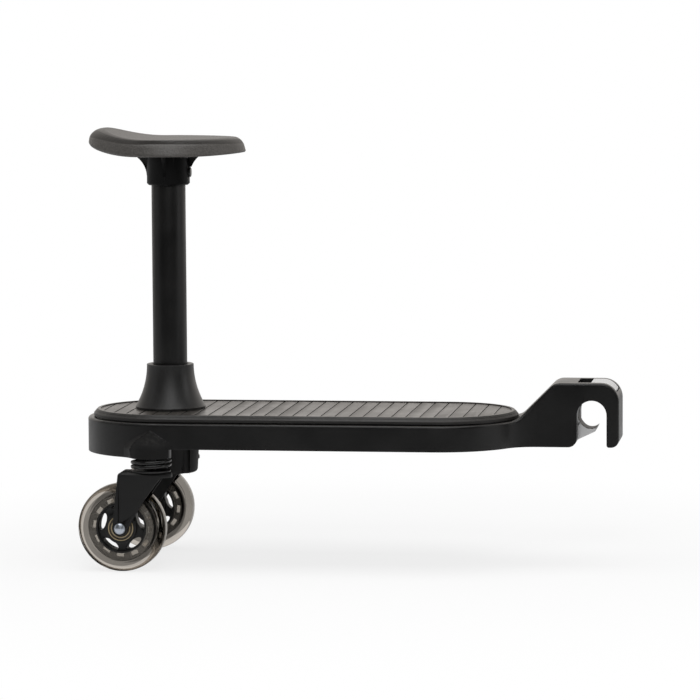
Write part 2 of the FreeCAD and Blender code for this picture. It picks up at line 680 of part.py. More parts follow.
def post_collar():
    """The bell-shaped collar, with a spigot through the mat on to the deck."""
    top = MAT_TOP_Z + COLLAR_HEIGHT
    bore = POST_RADIUS + RUNNING_CLEARANCE
    run = COLLAR_FOOT_RADIUS - COLLAR_TOP_RADIUS
    waist_low = MAT_TOP_Z + COLLAR_FOOT_EDGE
    waist_high = top - COLLAR_TOP_ROUND
    rise = waist_high - waist_low
    sweep = (run ** 2 + rise ** 2) / (2 * run)
    half = math.asin(rise / sweep) / 2
    mid = (COLLAR_TOP_RADIUS + sweep * (1 - math.cos(half)), waist_high - sweep * math.sin(half))
    round_mid = COLLAR_TOP_ROUND * (1 - math.cos(math.pi / 4))

    def at(radius, z):
        return V(POST_X + radius, 0, z)

    edges = [
        line(at(bore, PLATEAU_Z), at(COLLAR_SPIGOT_RADIUS, PLATEAU_Z)),
        line(at(COLLAR_SPIGOT_RADIUS, PLATEAU_Z), at(COLLAR_SPIGOT_RADIUS, MAT_TOP_Z)),
        line(at(COLLAR_SPIGOT_RADIUS, MAT_TOP_Z), at(COLLAR_FOOT_RADIUS, MAT_TOP_Z)),
        line(at(COLLAR_FOOT_RADIUS, MAT_TOP_Z), at(COLLAR_FOOT_RADIUS, waist_low)),
        arc(at(COLLAR_FOOT_RADIUS, waist_low), at(*mid), at(COLLAR_TOP_RADIUS, waist_high)),
        arc(at(COLLAR_TOP_RADIUS, waist_high), at(COLLAR_TOP_RADIUS - round_mid, top - round_mid),
            at(COLLAR_TOP_RADIUS - COLLAR_TOP_ROUND, top)),
        line(at(COLLAR_TOP_RADIUS - COLLAR_TOP_ROUND, top), at(bore, top)),
        line(at(bore, top), at(bore, PLATEAU_Z)),
    ]
    bell = Part.Face(Part.Wire(edges)).revolve(V(POST_X, 0, 0), V(0, 0, 1), 360)
    return bell.cut(screw_ring(SCREW_RADIUS, PLATEAU_Z - OVERRUN, CAVITY_Z + SCREW_GRIP))


def post_socket():
    """The cup under the deck, with its flange and gussets."""
    flange_low = CAVITY_Z - SOCKET_FLANGE
    floor = SOCKET_BOTTOM_Z + SOCKET_FLOOR
    bore = POST_RADIUS + RUNNING_CLEARANCE
    cup = turned([(0, SOCKET_BOTTOM_Z), (SOCKET_FOOT_RADIUS, SOCKET_BOTTOM_Z),
                  (SOCKET_TOP_RADIUS, flange_low), (SOCKET_FLANGE_RADIUS, flange_low),
                  (SOCKET_FLANGE_RADIUS, CAVITY_Z), (bore, CAVITY_Z), (bore, floor), (0, floor)], POST_X, 0)
    foot = [e for e in cup.Edges if e.BoundBox.ZMax < SOCKET_BOTTOM_Z + SAME_PLACE]
    cup = cup.makeFillet(SOCKET_FOOT_ROUND, foot)
    half = SOCKET_RIB_THICKNESS / 2
    gusset_low = DECK_BOTTOM_Z - SOCKET_FLOOR
    root_x, tip_x = POST_X + SOCKET_FOOT_RADIUS, POST_X + SOCKET_FLANGE_RADIUS
    corners = [V(root_x, -half, gusset_low), V(tip_x, -half, flange_low), V(root_x, -half, flange_low)]
    gusset = Part.Face(Part.makePolygon(corners + corners[:1])).extrude(V(0, SOCKET_RIB_THICKNESS, 0))
    cup = cup.fuse(ring_of(gusset, SOCKET_RIB_COUNT, POST_X, 0))
    heads = screw_ring(SCREW_HEAD_RADIUS + SCREW_HEAD_CLEARANCE, SOCKET_BOTTOM_Z - OVERRUN, flange_low)
    shanks = screw_ring(SCREW_RADIUS, SOCKET_BOTTOM_Z - OVERRUN, CAVITY_Z + OVERRUN)
    return cup.cut(heads + shanks)


def socket_screws():
    low = CAVITY_Z - SOCKET_FLANGE
    heads = screw_ring(SCREW_HEAD_RADIUS, low - SCREW_HEAD_HEIGHT, low)
    shanks = screw_ring(SCREW_RADIUS, low - SCREW_HEAD_HEIGHT, CAVITY_Z + SCREW_GRIP)
    return [head.fuse(shank).removeSplitter() for head, shank in zip(heads, shanks)]


def seat_post():
    low = SOCKET_BOTTOM_Z + SOCKET_FLOOR + POST_PLUG_FLANGE
    tube = upright(POST_RADIUS, POST_X, 0, low, POST_TOP_Z)
    tube = tube.cut(upright(POST_RADIUS - POST_WALL, POST_X, 0, low, POST_TOP_Z))
    return tube.cut(bolt_hole())


def post_plug():
    low = SOCKET_BOTTOM_Z + SOCKET_FLOOR
    inner = POST_RADIUS - POST_WALL
    return turned([(0, low), (POST_RADIUS, low), (POST_RADIUS, low + POST_PLUG_FLANGE),
                   (inner, low + POST_PLUG_FLANGE), (inner, low + POST_PLUG_DEPTH),
                   (inner - POST_WALL, low + POST_PLUG_DEPTH), (inner - POST_WALL, low + POST_PLUG_FLANGE),
                   (0, low + POST_PLUG_FLANGE)], POST_X, 0)


# Seat bracket and seat

def bolt_hole():
    return lengthwise(BOLT_RADIUS, 0, BOLT_Z, POST_X - DECK_HALF_WIDTH, POST_X + DECK_HALF_WIDTH)


def seat_bracket():
    """The ribbed socket under the seat, with a spot face for the bolt's head and a pocket for its nut."""
    body = turned([(POST_RADIUS, BRACKET_BOTTOM_Z), (BRACKET_RADIUS - BRACKET_LIP, BRACKET_BOTTOM_Z),
                   (BRACKET_RADIUS, BRACKET_BOTTOM_Z + BRACKET_LIP), (BRACKET_RADIUS, BRACKET_PLATE_Z),
                   (BRACKET_PLATE_RADIUS, BRACKET_PLATE_Z), (BRACKET_PLATE_RADIUS, BRACKET_TOP_Z),
                   (0, BRACKET_TOP_Z), (0, POST_TOP_Z), (POST_RADIUS, POST_TOP_Z)], POST_X, 0)
    ribs = ring_of(bracket_rib(), BRACKET_RIB_COUNT, POST_X, 0)
    reach = BRACKET_PLATE_RADIUS + OVERRUN
    spot_radius = BOLT_HEAD_RADIUS + SCREW_HEAD_CLEARANCE
    spot_face = lengthwise(spot_radius, 0, BOLT_Z, POST_X + BOLT_HEAD_REACH, POST_X + reach)
    pocket = hexagon(NUT_RADIUS, POST_X - reach, POST_X - NUT_REACH)
    screws = seat_screw_ring(SCREW_RADIUS, BRACKET_PLATE_Z - OVERRUN, BRACKET_TOP_Z + OVERRUN)
    return body.fuse(ribs).cut([bolt_hole(), spot_face, pocket] + screws).removeSplitter()


def bracket_rib():
    """One rib that flares from the bracket's tube to the seat."""
    run = BRACKET_RIB_REACH - BRACKET_RADIUS
    sweep = (run ** 2 + BRACKET_RIB_DROP ** 2) / (2 * run)
    half_angle = math.asin(BRACKET_RIB_DROP / sweep) / 2
    half = BRACKET_RIB_THICKNESS / 2

    def at(run_out, drop):
        return V(POST_X + BRACKET_RADIUS + run_out, -half, BRACKET_PLATE_Z - drop)

    waist = at(sweep * (1 - math.cos(half_angle)), BRACKET_RIB_DROP - sweep * math.sin(half_angle))
    return plate([
        line(at(-BRACKET_LIP, 0), at(run, 0)),
        arc(at(run, 0), waist, at(0, BRACKET_RIB_DROP)),
        line(at(0, BRACKET_RIB_DROP), at(-BRACKET_LIP, BRACKET_RIB_DROP)),
        line(at(-BRACKET_LIP, BRACKET_RIB_DROP), at(-BRACKET_LIP, 0)),
    ], V(0, BRACKET_RIB_THICKNESS, 0))


def hexagon(radius, x0, x1):
    """A six-sided block along X on the bolt's line."""
    angles = [math.radians(60 * i) for i in range(6)]
    corners = [V(x0, radius * math.cos(a), BOLT_Z + radius * math.sin(a)) for a in angles]
    return Part.Face(Part.makePolygon(corners + corners[:1])).extrude(V(x1 - x0, 0, 0))


def bracket_bolt():
    head_x = POST_X + BOLT_HEAD_REACH
    shank = lengthwise(BOLT_RADIUS, 0, BOLT_Z, POST_X - NUT_REACH - NUT_HEIGHT, head_x)
    head = lengthwise(BOLT_HEAD_RADIUS, 0, BOLT_Z, head_x, head_x + BOLT_HEAD_HEIGHT)
    rim = [e for e in head.Edges if e.BoundBox.XMin > head_x + BOLT_HEAD_HEIGHT / 2]
    return shank.fuse(head.makeFillet(BOLT_HEAD_HEIGHT / 2, rim)).removeSplitter()


def bracket_nut():
    """The nut in the bracket's six-sided pocket."""
    inner_x = POST_X - NUT_REACH
    return hexagon(NUT_RADIUS - RUNNING_CLEARANCE, inner_x - NUT_HEIGHT, inner_x).cut(bolt_hole())


def seat_screw_ring(radius, z0, z1):
    one = upright(radius, POST_X + SEAT_SCREW_RING_RADIUS, 0, z0, z1)
    return ring_of(one, SCREW_COUNT, POST_X, 0, 360 / SCREW_COUNT / 2)


def seat_screws():
    low = BRACKET_PLATE_Z - SCREW_HEAD_HEIGHT
    heads = seat_screw_ring(SCREW_HEAD_RADIUS, low, BRACKET_PLATE_Z)
    shanks = seat_screw_ring(SCREW_RADIUS, low, BRACKET_TOP_Z + SEAT_SCREW_DEPTH)
    return [head.fuse(shank).removeSplitter() for head, shank in zip(heads, shanks)]


def seat_outline(inset, z):
    """The saddle's outline in plan: a broad back, a narrower nose and bowed sides, all tangent arcs."""
    back_x = POST_X - SEAT_BACK_REACH + SEAT_BACK_RADIUS
    nose_x = POST_X + SEAT_NOSE_REACH - SEAT_NOSE_RADIUS
    to_back, to_nose = SEAT_SIDE_RADIUS - SEAT_BACK_RADIUS, SEAT_SIDE_RADIUS - SEAT_NOSE_RADIUS
    side = circles_meet(back_x, 0, to_back, nose_x, 0, to_nose, -1)
    back, nose, bow = SEAT_BACK_RADIUS - inset, SEAT_NOSE_RADIUS - inset, SEAT_SIDE_RADIUS - inset
    far_back = between(side[0], side[1], back_x, 0, bow)
    far_nose = between(side[0], side[1], nose_x, 0, bow)

    def flat(x, y):
        return V(x, y, z)

    return Part.Wire([
        arc(flat(*far_back), flat(side[0], side[1] + bow), flat(*far_nose)),
        arc(flat(*far_nose), flat(nose_x + nose, 0), flat(far_nose[0], -far_nose[1])),
        arc(flat(far_nose[0], -far_nose[1]), flat(side[0], -side[1] - bow), flat(far_back[0], -far_back[1])),
        arc(flat(far_back[0], -far_back[1]), flat(back_x - back, 0), flat(*far_back)),
    ])


def seat_side_view():
    """The saddle from the side: a flat top that sweeps up at the back, over a keel that lifts at its ends."""
    back_x, nose_x = POST_X - SEAT_BACK_REACH, POST_X + SEAT_NOSE_REACH
    dish_x = POST_X - SEAT_DISH_START
    dish_end = back_x - OVERRUN
    dish_angle = math.asin((dish_x - dish_end) / SEAT_DISH_RADIUS)
    keel_x, bow_x = back_x + SEAT_KEEL_RUN, nose_x - SEAT_NOSE_RUN
    keel_radius = (SEAT_KEEL_RUN ** 2 + SEAT_KEEL_LIFT ** 2) / (2 * SEAT_KEEL_LIFT)
    keel_angle = math.asin((keel_x - dish_end) / keel_radius)
    bow_radius = (SEAT_NOSE_RUN ** 2 + SEAT_NOSE_LIFT ** 2) / (2 * SEAT_NOSE_LIFT)
    far_x = nose_x + OVERRUN
    bow_angle = math.asin((far_x - bow_x) / bow_radius)
    keel = V(keel_x, 0, SEAT_BOTTOM_Z + keel_radius)
    bow = V(bow_x, 0, SEAT_BOTTOM_Z + bow_radius)
    dish = V(dish_x, 0, SEAT_TOP_Z + SEAT_DISH_RADIUS)
    keel_arc = side_arc(keel, keel_radius, -90 - math.degrees(keel_angle), -90)
    bow_arc = side_arc(bow, bow_radius, -90, -90 + math.degrees(bow_angle))
    dish_arc = side_arc(dish, SEAT_DISH_RADIUS, -90, -90 - math.degrees(dish_angle))
    low_nose, high_nose = bow_arc.Vertexes[-1].Point, V(far_x, 0, SEAT_TOP_Z)
    return across([
        keel_arc,
        line(V(keel_x, 0, SEAT_BOTTOM_Z), V(bow_x, 0, SEAT_BOTTOM_Z)),
        bow_arc,
        line(low_nose, high_nose),
        line(high_nose, V(dish_x, 0, SEAT_TOP_Z)),
        dish_arc,
        line(dish_arc.Vertexes[-1].Point, keel_arc.Vertexes[0].Point),
    ], DECK_HALF_WIDTH)


def seat():
    """The saddle: sides that draw in towards the top, cut by the side view, with its upper edge rounded."""
    outlines = [seat_outline(0, SEAT_BOTTOM_Z), seat_outline(SEAT_DRAFT, SEAT_BLANK_Z)]
    blank = Part.makeLoft(outlines, True, True).common(seat_side_view())
    rim = []
    for edge in blank.Edges:
        dish_line = max(abs(v.X - POST_X + SEAT_DISH_START) for v in edge.Vertexes) < SAME_PLACE
        if edge.BoundBox.ZMin > SEAT_TOP_Z - SAME_PLACE and not dish_line:
            rim.append(edge)
    saddle = blank.makeFillet(SEAT_EDGE_ROUND, rim)
    recess = upright(BRACKET_PLATE_RADIUS + SIDE_CLEARANCE, POST_X, 0, SEAT_BOTTOM_Z - OVERRUN, BRACKET_TOP_Z)
    screws = seat_screw_ring(SCREW_RADIUS, SEAT_BOTTOM_Z - OVERRUN, BRACKET_TOP_Z + SEAT_SCREW_DEPTH)
    return saddle.cut([recess] + screws)


# Latch

def latch_button():
    """The thumb plate that follows the hook's shoulder."""
    half = SLOT_HALF_WIDTH - LATCH_CLEARANCE
    room = box(BUTTON_REAR_X, SLOT_FRONT_X - LATCH_CLEARANCE, -half, half, LINK_BOTTOM_Z, ARM_TOP_Z + OVERRUN)
    block = across(deck_profile(), half).common(room)
    under = box(BUTTON_REAR_X, SHOULDER_X, -half, half, LINK_BOTTOM_Z, ARM_TOP_Z - BUTTON_THICKNESS)
    bend = crosswise(SHOULDER_RADIUS - BUTTON_THICKNESS, SHOULDER_X, SHOULDER_Z, -half, half)
    return block.cut([under, bend])


def latch_jaw():
    """The jaw with its web inside the column and the link that reaches up to the thumb plate."""
    half = JAW_HALF_WIDTH
    hook = V(HOOK_X, -half, HOOK_Z)
    tip_angle = -math.acos((COLUMN_X + JAW_REACH - HOOK_X) / JAW_CURVE_RADIUS)
    top_angle = -math.pi - math.asin(JAW_TOP_RISE / JAW_CURVE_RADIUS)
    curve = side_arc(hook, JAW_CURVE_RADIUS, math.degrees(tip_angle), math.degrees(top_angle))
    tip_top, curve_top = curve.Vertexes[0].Point, curve.Vertexes[-1].Point
    tip_low = V(tip_top.x - JAW_TIP_SETBACK, -half, tip_top.z - JAW_TIP_HEIGHT)
    root = V(COLUMN_X, -half, JAW_ROOT_BOTTOM_Z)
    back = V(JAW_BACK_X, -half, JAW_ROOT_BOTTOM_Z)
    back_top = V(JAW_BACK_X, -half, JAW_TOP_Z)
    blade = plate([line(back, root), line(root, tip_low), line(tip_low, tip_top), curve,
                   line(curve_top, back_top), line(back_top, back)], V(0, 2 * half, 0))
    web = box(JAW_BACK_X, COLUMN_X, -half, half, JAW_TOP_Z - OVERRUN, LINK_TOP_Z)
    link_end = BUTTON_REAR_X + LINK_LAP
    link = box(JAW_BACK_X, link_end, -half, half, LINK_BOTTOM_Z, LINK_TOP_Z)
    riser = box(BUTTON_REAR_X, link_end, -half, half, LINK_BOTTOM_Z, ARM_TOP_Z - BUTTON_THICKNESS)
    peg = lengthwise(LATCH_PEG_RADIUS, 0, LATCH_SPRING_Z, JAW_BACK_X - LATCH_PEG_LENGTH, JAW_BACK_X)
    return blade.fuse([web, link, riser, peg]).removeSplitter()


def latch_spring():
    ends = LATCH_SPRING_WIRE / 2 + SPRING_CLEARANCE
    start = V(JAW_BACK_X - LATCH_SPRING_LENGTH + ends, 0, LATCH_SPRING_Z)
    length = LATCH_SPRING_LENGTH - 2 * ends
    return coil(start, V(1, 0, 0), V(0, 0, 1),
                LATCH_SPRING_RADIUS, LATCH_SPRING_WIRE, LATCH_SPRING_TURNS, length)


def latch_cover():
    jaw = JAW_HALF_WIDTH + LATCH_CLEARANCE + COVER_MARGIN
    fit = RUNNING_CLEARANCE
    rear_x, front_x = CHAMBER_REAR_X - COVER_MARGIN, COLUMN_X - COLUMN_CORNER
    lid = box(rear_x + fit, front_x - fit, -jaw + fit, jaw - fit, DECK_BOTTOM_Z, COVER_TOP_Z)
    sinks = [upright(COVER_SCREW_HEAD_RADIUS, x, y, DECK_BOTTOM_Z, DECK_BOTTOM_Z + COVER_SCREW_HEAD)
             for x, y in cover_screw_places()]
    return lid.cut(cover_screw_shanks(COVER_SCREW_RADIUS) + sinks)


def cover_screws():
    screws = []
    for place, shank in zip(cover_screw_places(), cover_screw_shanks(COVER_SCREW_RADIUS)):
        head = upright(COVER_SCREW_HEAD_RADIUS, *place, DECK_BOTTOM_Z, DECK_BOTTOM_Z + COVER_SCREW_HEAD)
        screws.append(shank.fuse(head).removeSplitter())
    return screws


# Casters, made on the near side

def bush():
    tube = upright(BUSH_RADIUS, SWIVEL_X, -CASTER_Y, POD_BOTTOM_Z, BUSH_TOP_Z)
    return tube.cut(upright(STEM_RADIUS + RUNNING_CLEARANCE, SWIVEL_X, -CASTER_Y, POD_BOTTOM_Z, BUSH_TOP_Z))


def kingpin():
    foot = FORK_TOP_Z - FORK_CROWN
    return turned([(0, foot - STEM_FOOT_THICKNESS), (STEM_FOOT_RADIUS, foot - STEM_FOOT_THICKNESS),
                   (STEM_FOOT_RADIUS, foot), (STEM_RADIUS, foot), (STEM_RADIUS, BUSH_TOP_Z),
                   (STEM_HEAD_RADIUS, BUSH_TOP_Z), (STEM_HEAD_RADIUS, BUSH_TOP_Z + STEM_HEAD_THICKNESS),
                   (0, BUSH_TOP_Z + STEM_HEAD_THICKNESS)], SWIVEL_X, -CASTER_Y)


def caster_spring():
    low = SPRING_SEAT_TOP_Z + SPRING_WIRE / 2 + SPRING_CLEARANCE
    high = POD_BOTTOM_Z - SPRING_WIRE / 2 - SPRING_CLEARANCE
    start = V(SWIVEL_X, -CASTER_Y, low)
    return coil(start, V(0, 0, 1), V(1, 0, 0), SPRING_RADIUS, SPRING_WIRE, SPRING_TURNS, high - low)


def spring_seat():
    washer = upright(SPRING_SEAT_RADIUS, SWIVEL_X, -CASTER_Y, FORK_TOP_Z, SPRING_SEAT_TOP_Z)
    rim = [e for e in washer.Edges if e.BoundBox.ZMin > FORK_TOP_Z]
    washer = washer.makeFillet(SPRING_SEAT_THICKNESS / 2, rim)
    bore = STEM_RADIUS + SIDE_CLEARANCE
    return washer.cut(upright(bore, SWIVEL_X, -CASTER_Y, FORK_TOP_Z, SPRING_SEAT_TOP_Z))


def fork_plan(inset, z0, z1):
    """The fork from above: flat cheeks that bend together into a rounded nose."""
    half = FORK_HALF_WIDTH - inset
    bend_x = SWIVEL_X - FORK_BEND_SETBACK
    nose_x = SWIVEL_X + FORK_NOSE - inset
    rear_x = SWIVEL_X - FORK_REAR_TOP - FORK_EYE - OVERRUN
    nose_r = FORK_NOSE_ROUND - inset / 2
    run = nose_x - nose_r - bend_x
    cheek = (run ** 2 + half ** 2 - nose_r ** 2) / (2 * (half - nose_r))
    centre_y = half - cheek
    touch = between(bend_x, centre_y, nose_x - nose_r, 0, cheek)
    turn = math.atan2(touch[1] - centre_y, touch[0] - bend_x)
    angle = (turn + math.pi / 2) / 2
    bow = (bend_x + cheek * math.cos(angle), centre_y + cheek * math.sin(angle))

    def flat(x, aside):
        return V(x, aside - CASTER_Y, z0)

    return plate([
        line(flat(rear_x, half), flat(bend_x, half)),
        arc(flat(bend_x, half), flat(*bow), flat(*touch)),
        arc(flat(*touch), flat(nose_x, 0), flat(touch[0], -touch[1])),
        arc(flat(touch[0], -touch[1]), flat(bow[0], -bow[1]), flat(bend_x, -half)),
        line(flat(bend_x, -half), flat(rear_x, -half)),
        line(flat(rear_x, -half), flat(rear_x, half)),
    ], V(0, 0, z1 - z0))


def fork_side():
    """The fork from the side: a crown whose cheeks taper down to the axle eyes."""
    eye = V(AXLE_X, -CASTER_Y - FORK_HALF_WIDTH - OVERRUN, WHEEL_RADIUS)
    rear_top = V(SWIVEL_X - FORK_REAR_TOP, eye.y, FORK_TOP_Z)
    nose_top = V(SWIVEL_X + FORK_NOSE + OVERRUN, eye.y, FORK_TOP_Z)
    nose_low = V(nose_top.x, eye.y, FORK_TOP_Z - FORK_FRONT_DROP)
    lip = V(SWIVEL_X + FORK_NOSE - FORK_LIP_SETBACK, eye.y, nose_low.z)
    rear_touch = tangent_point(eye, FORK_EYE, rear_top, 1)
    front_touch = tangent_point(eye, FORK_EYE, lip, -1)
    bottom = V(eye.x, eye.y, eye.z - FORK_EYE)
    slope = lip - front_touch
    hollow = (lip + front_touch) / 2 + V(-slope.z, 0, slope.x).normalize() * FORK_FRONT_SAG
    return plate([
        line(rear_top, nose_top), line(nose_top, nose_low), line(nose_low, lip),
        arc(lip, hollow, front_touch), arc(front_touch, bottom, rear_touch), line(rear_touch, rear_top),
    ], V(0, 2 * (FORK_HALF_WIDTH + OVERRUN), 0))


def tangent_point(centre, radius, point, side):
    """Where a line from a point touches a circle, both in the XZ plane."""
    dx, dz = point.x - centre.x, point.z - centre.z
    angle = math.atan2(dz, dx) + side * math.acos(radius / math.hypot(dx, dz))
    return on_circle(centre, radius, math.degrees(angle))


def fork():
    """The fork pressed from sheet: a crown with rounded edges, cheeks and a nose bent round the front."""
    low = WHEEL_RADIUS - FORK_EYE - OVERRUN
    block = fork_plan(0, low, FORK_TOP_Z).common(fork_side())
    crown = [e for e in block.Edges if e.BoundBox.ZMin > FORK_TOP_Z - SAME_PLACE]
    shell = block.makeFillet(FORK_EDGE_ROUND, crown).cut(fork_plan(FORK_SHEET, low, FORK_TOP_Z - FORK_CROWN))
    reach = FORK_HALF_WIDTH + OVERRUN
    stem = upright(STEM_RADIUS, SWIVEL_X, -CASTER_Y, FORK_TOP_Z - FORK_CROWN - OVERRUN, FORK_TOP_Z + OVERRUN)
    axle = crosswise(AXLE_RADIUS, AXLE_X, WHEEL_RADIUS, -CASTER_Y - reach, -CASTER_Y + reach)
    return shell.cut([stem, axle])


def on_axle(points):
    """A solid of revolution about the near axle from (radius, distance across) corners."""
    corners = [V(AXLE_X, -CASTER_Y + y, WHEEL_RADIUS + r) for r, y in points]
    face = Part.Face(Part.makePolygon(corners + corners[:1]))
    return face.revolve(V(AXLE_X, 0, WHEEL_RADIUS), V(0, 1, 0), 360)


def axle_rivet():
    """The axle rivet with a domed head at each end."""
    face = FORK_HALF_WIDTH
    dome = (AXLE_HEAD_RADIUS ** 2 + AXLE_HEAD_HEIGHT ** 2) / (2 * AXLE_HEAD_HEIGHT)
    shank = crosswise(AXLE_RADIUS, AXLE_X, WHEEL_RADIUS, -CASTER_Y - face, -CASTER_Y + face)
    heads = []
    for way in (-1, 1):
        start = -CASTER_Y + way * face
        ball = Part.makeSphere(dome, V(AXLE_X, start + way * (AXLE_HEAD_HEIGHT - dome), WHEEL_RADIUS))
        low, high = sorted((start, start + way * (AXLE_HEAD_HEIGHT + OVERRUN)))
        heads.append(ball.common(crosswise(AXLE_HEAD_RADIUS, AXLE_X, WHEEL_RADIUS, low, high)))
    return shank.fuse(heads).removeSplitter()


def axle_sleeve():
    return on_axle([(AXLE_RADIUS, -FORK_INNER), (SLEEVE_RADIUS, -FORK_INNER), (SLEEVE_RADIUS, FORK_INNER),
                    (AXLE_RADIUS, FORK_INNER)])


def axle_spacers():
    near = WHEEL_WIDTH / 2 + SIDE_CLEARANCE
    corners = [(SLEEVE_RADIUS, near), (SPACER_RADIUS, near),
               (SPACER_RADIUS, FORK_INNER), (SLEEVE_RADIUS, FORK_INNER)]
    return [on_axle([(r, way * y) for r, y in corners]) for way in (-1, 1)]


def bearings():
    """The two ball bearings, each with a sunk ring between its outer race and its cap."""
    bore = SLEEVE_RADIUS + RUNNING_CLEARANCE
    inner, outer = BEARING_CAP_RADIUS, BEARING_RADIUS - BEARING_RACE_WALL
    solids = []
    for way in (-1, 1):
        face = way * WHEEL_WIDTH / 2
        back = face - way * BEARING_WIDTH
        sunk = face - way * BEARING_SHIELD_DEPTH
        solids.append(on_axle([(bore, back), (BEARING_RADIUS, back), (BEARING_RADIUS, face), (outer, face),
                               (outer, sunk), (inner, sunk), (inner, face), (bore, face)]))
    return solids


def wheel_core():
    """The black wheel core: hub, web with oval openings, rim, and a flange with a ring of windows."""
    hub, rim, web, flange = WHEEL_WIDTH / 2, CORE_RIM_WIDTH / 2, CORE_WEB / 2, CORE_FLANGE / 2
    rim_r = CORE_RIM_RADIUS - CORE_RIM_WALL
    pocket = hub - BEARING_WIDTH
    near = [(BEARING_LAND, -pocket), (BEARING_RADIUS, -pocket), (BEARING_RADIUS, -hub), (HUB_RADIUS, -hub),
            (HUB_RADIUS, -web), (rim_r, -web), (rim_r, -rim), (CORE_RIM_RADIUS, -rim),
            (CORE_RIM_RADIUS, -flange), (CORE_RADIUS, -flange)]
    core = on_axle(near + [(r, -y) for r, y in reversed(near)])
    cuts = []
    for index in range(OVAL_COUNT):
        cuts.append(oval_cutter(OVAL_PHASE + index * 360 / OVAL_COUNT))
    for index in range(WINDOW_COUNT):
        cuts.append(window_cutter(WINDOW_PHASE + index * 360 / WINDOW_COUNT))
    return core.cut(cuts)


def turned_about_axle(shape, degrees):
    """A cutter made above the axle, turned to an angle counted from +X upwards."""
    shape.rotate(V(AXLE_X, 0, WHEEL_RADIUS), V(0, 1, 0), 90 - degrees)
    return shape


def oval_cutter(degrees):
    middle = V(AXLE_X, -CASTER_Y - WHEEL_WIDTH, WHEEL_RADIUS + OVAL_RING_RADIUS)
    end, top = middle + V(OVAL_LENGTH / 2, 0, 0), middle + V(0, 0, OVAL_WIDTH / 2)
    oval = plate([Part.Ellipse(end, top, middle).toShape()], V(0, 2 * WHEEL_WIDTH, 0))
    return turned_about_axle(oval, degrees)


def window_cutter(degrees):
    z = WHEEL_RADIUS + WINDOW_RING_RADIUS
    half, rise = WINDOW_LENGTH / 2, WINDOW_HEIGHT / 2
    y0, y1 = -CASTER_Y - WHEEL_WIDTH, -CASTER_Y + WHEEL_WIDTH
    slot = box(AXLE_X - half, AXLE_X + half, y0, y1, z - rise, z + rise)
    return turned_about_axle(slot, degrees)


def tyre():
    """The clear tyre, cast over the core's flange and through its windows, with round shoulders."""
    half, cheek = WHEEL_WIDTH / 2, TYRE_CHEEK_WIDTH / 2
    tread = TREAD_FLAT / 2
    side = WHEEL_RADIUS - TYRE_SIDE_ROUND
    run, rise = half - tread, WHEEL_RADIUS - side

    def at(r, aside):
        return V(AXLE_X, aside - CASTER_Y, WHEEL_RADIUS + r)

    bulge = math.cos(math.pi / 4)
    edges = [
        line(at(CORE_RIM_RADIUS, -cheek), at(CORE_RIM_RADIUS, cheek)),
        line(at(CORE_RIM_RADIUS, cheek), at(TYRE_LIP_RADIUS, cheek)),
        line(at(TYRE_LIP_RADIUS, cheek), at(TYRE_LIP_RADIUS, half)),
        line(at(TYRE_LIP_RADIUS, half), at(side, half)),
        arc(at(side, half), at(side + rise * bulge, tread + run * bulge), at(WHEEL_RADIUS, tread)),
        line(at(WHEEL_RADIUS, tread), at(WHEEL_RADIUS, -tread)),
        arc(at(WHEEL_RADIUS, -tread), at(side + rise * bulge, -tread - run * bulge), at(side, -half)),
        line(at(side, -half), at(TYRE_LIP_RADIUS, -half)),
        line(at(TYRE_LIP_RADIUS, -half), at(TYRE_LIP_RADIUS, -cheek)),
        line(at(TYRE_LIP_RADIUS, -cheek), at(CORE_RIM_RADIUS, -cheek)),
    ]
    casting = Part.Face(Part.Wire(edges)).revolve(V(AXLE_X, 0, WHEEL_RADIUS), V(0, 1, 0), 360)
    return casting.cut(wheel_core())


# Put the pieces together and write them out

def add(name, shape):
    """Keep a piece, or a group of like pieces, under its node name."""
    nodes[name] = Part.makeCompound(shape) if isinstance(shape, list) else shape


def add_casters():
    """Both casters: each piece is made on the near side and copied to the far side."""
    makers = {"bush": bush, "kingpin": kingpin, "spring": caster_spring, "spring_seat": spring_seat,
              "fork": fork, "axle_rivet": axle_rivet, "axle_sleeve": axle_sleeve,
              "axle_spacers": axle_spacers, "wheel_core": wheel_core, "tyre": tyre, "bearings": bearings}
    for name, maker in makers.items():
        shape = maker()
        near = Part.makeCompound(shape) if isinstance(shape, list) else shape
        add("left_" + name, near.translated(V(0, 2 * CASTER_Y, 0)))
        add("right_" + name, near)


for piece in (deck_body, mat, post_collar, post_socket, socket_screws, seat_post, post_plug, seat_bracket,
              bracket_bolt, bracket_nut, seat_screws, seat, latch_button, latch_jaw, latch_spring,
              latch_cover, cover_screws):
    add(piece.__name__, piece())
add_casters()

os.makedirs("parts", exist_ok=True)
for name, shape in nodes.items():
    solids = shape.Solids
    if not shape.isValid():
        print("not valid:", name)
    print("%-20s solids %d volume %.0f" % (name, len(solids), shape.Volume))
    shape.exportStep("parts/%s.step" % name)
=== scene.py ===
"""Looks of the buggy board: finished meshes, procedural finishes, soft studio light and the camera."""
import json
import logging
import math
from dataclasses import dataclass, field, replace
from enum import Enum
from typing import Sequence

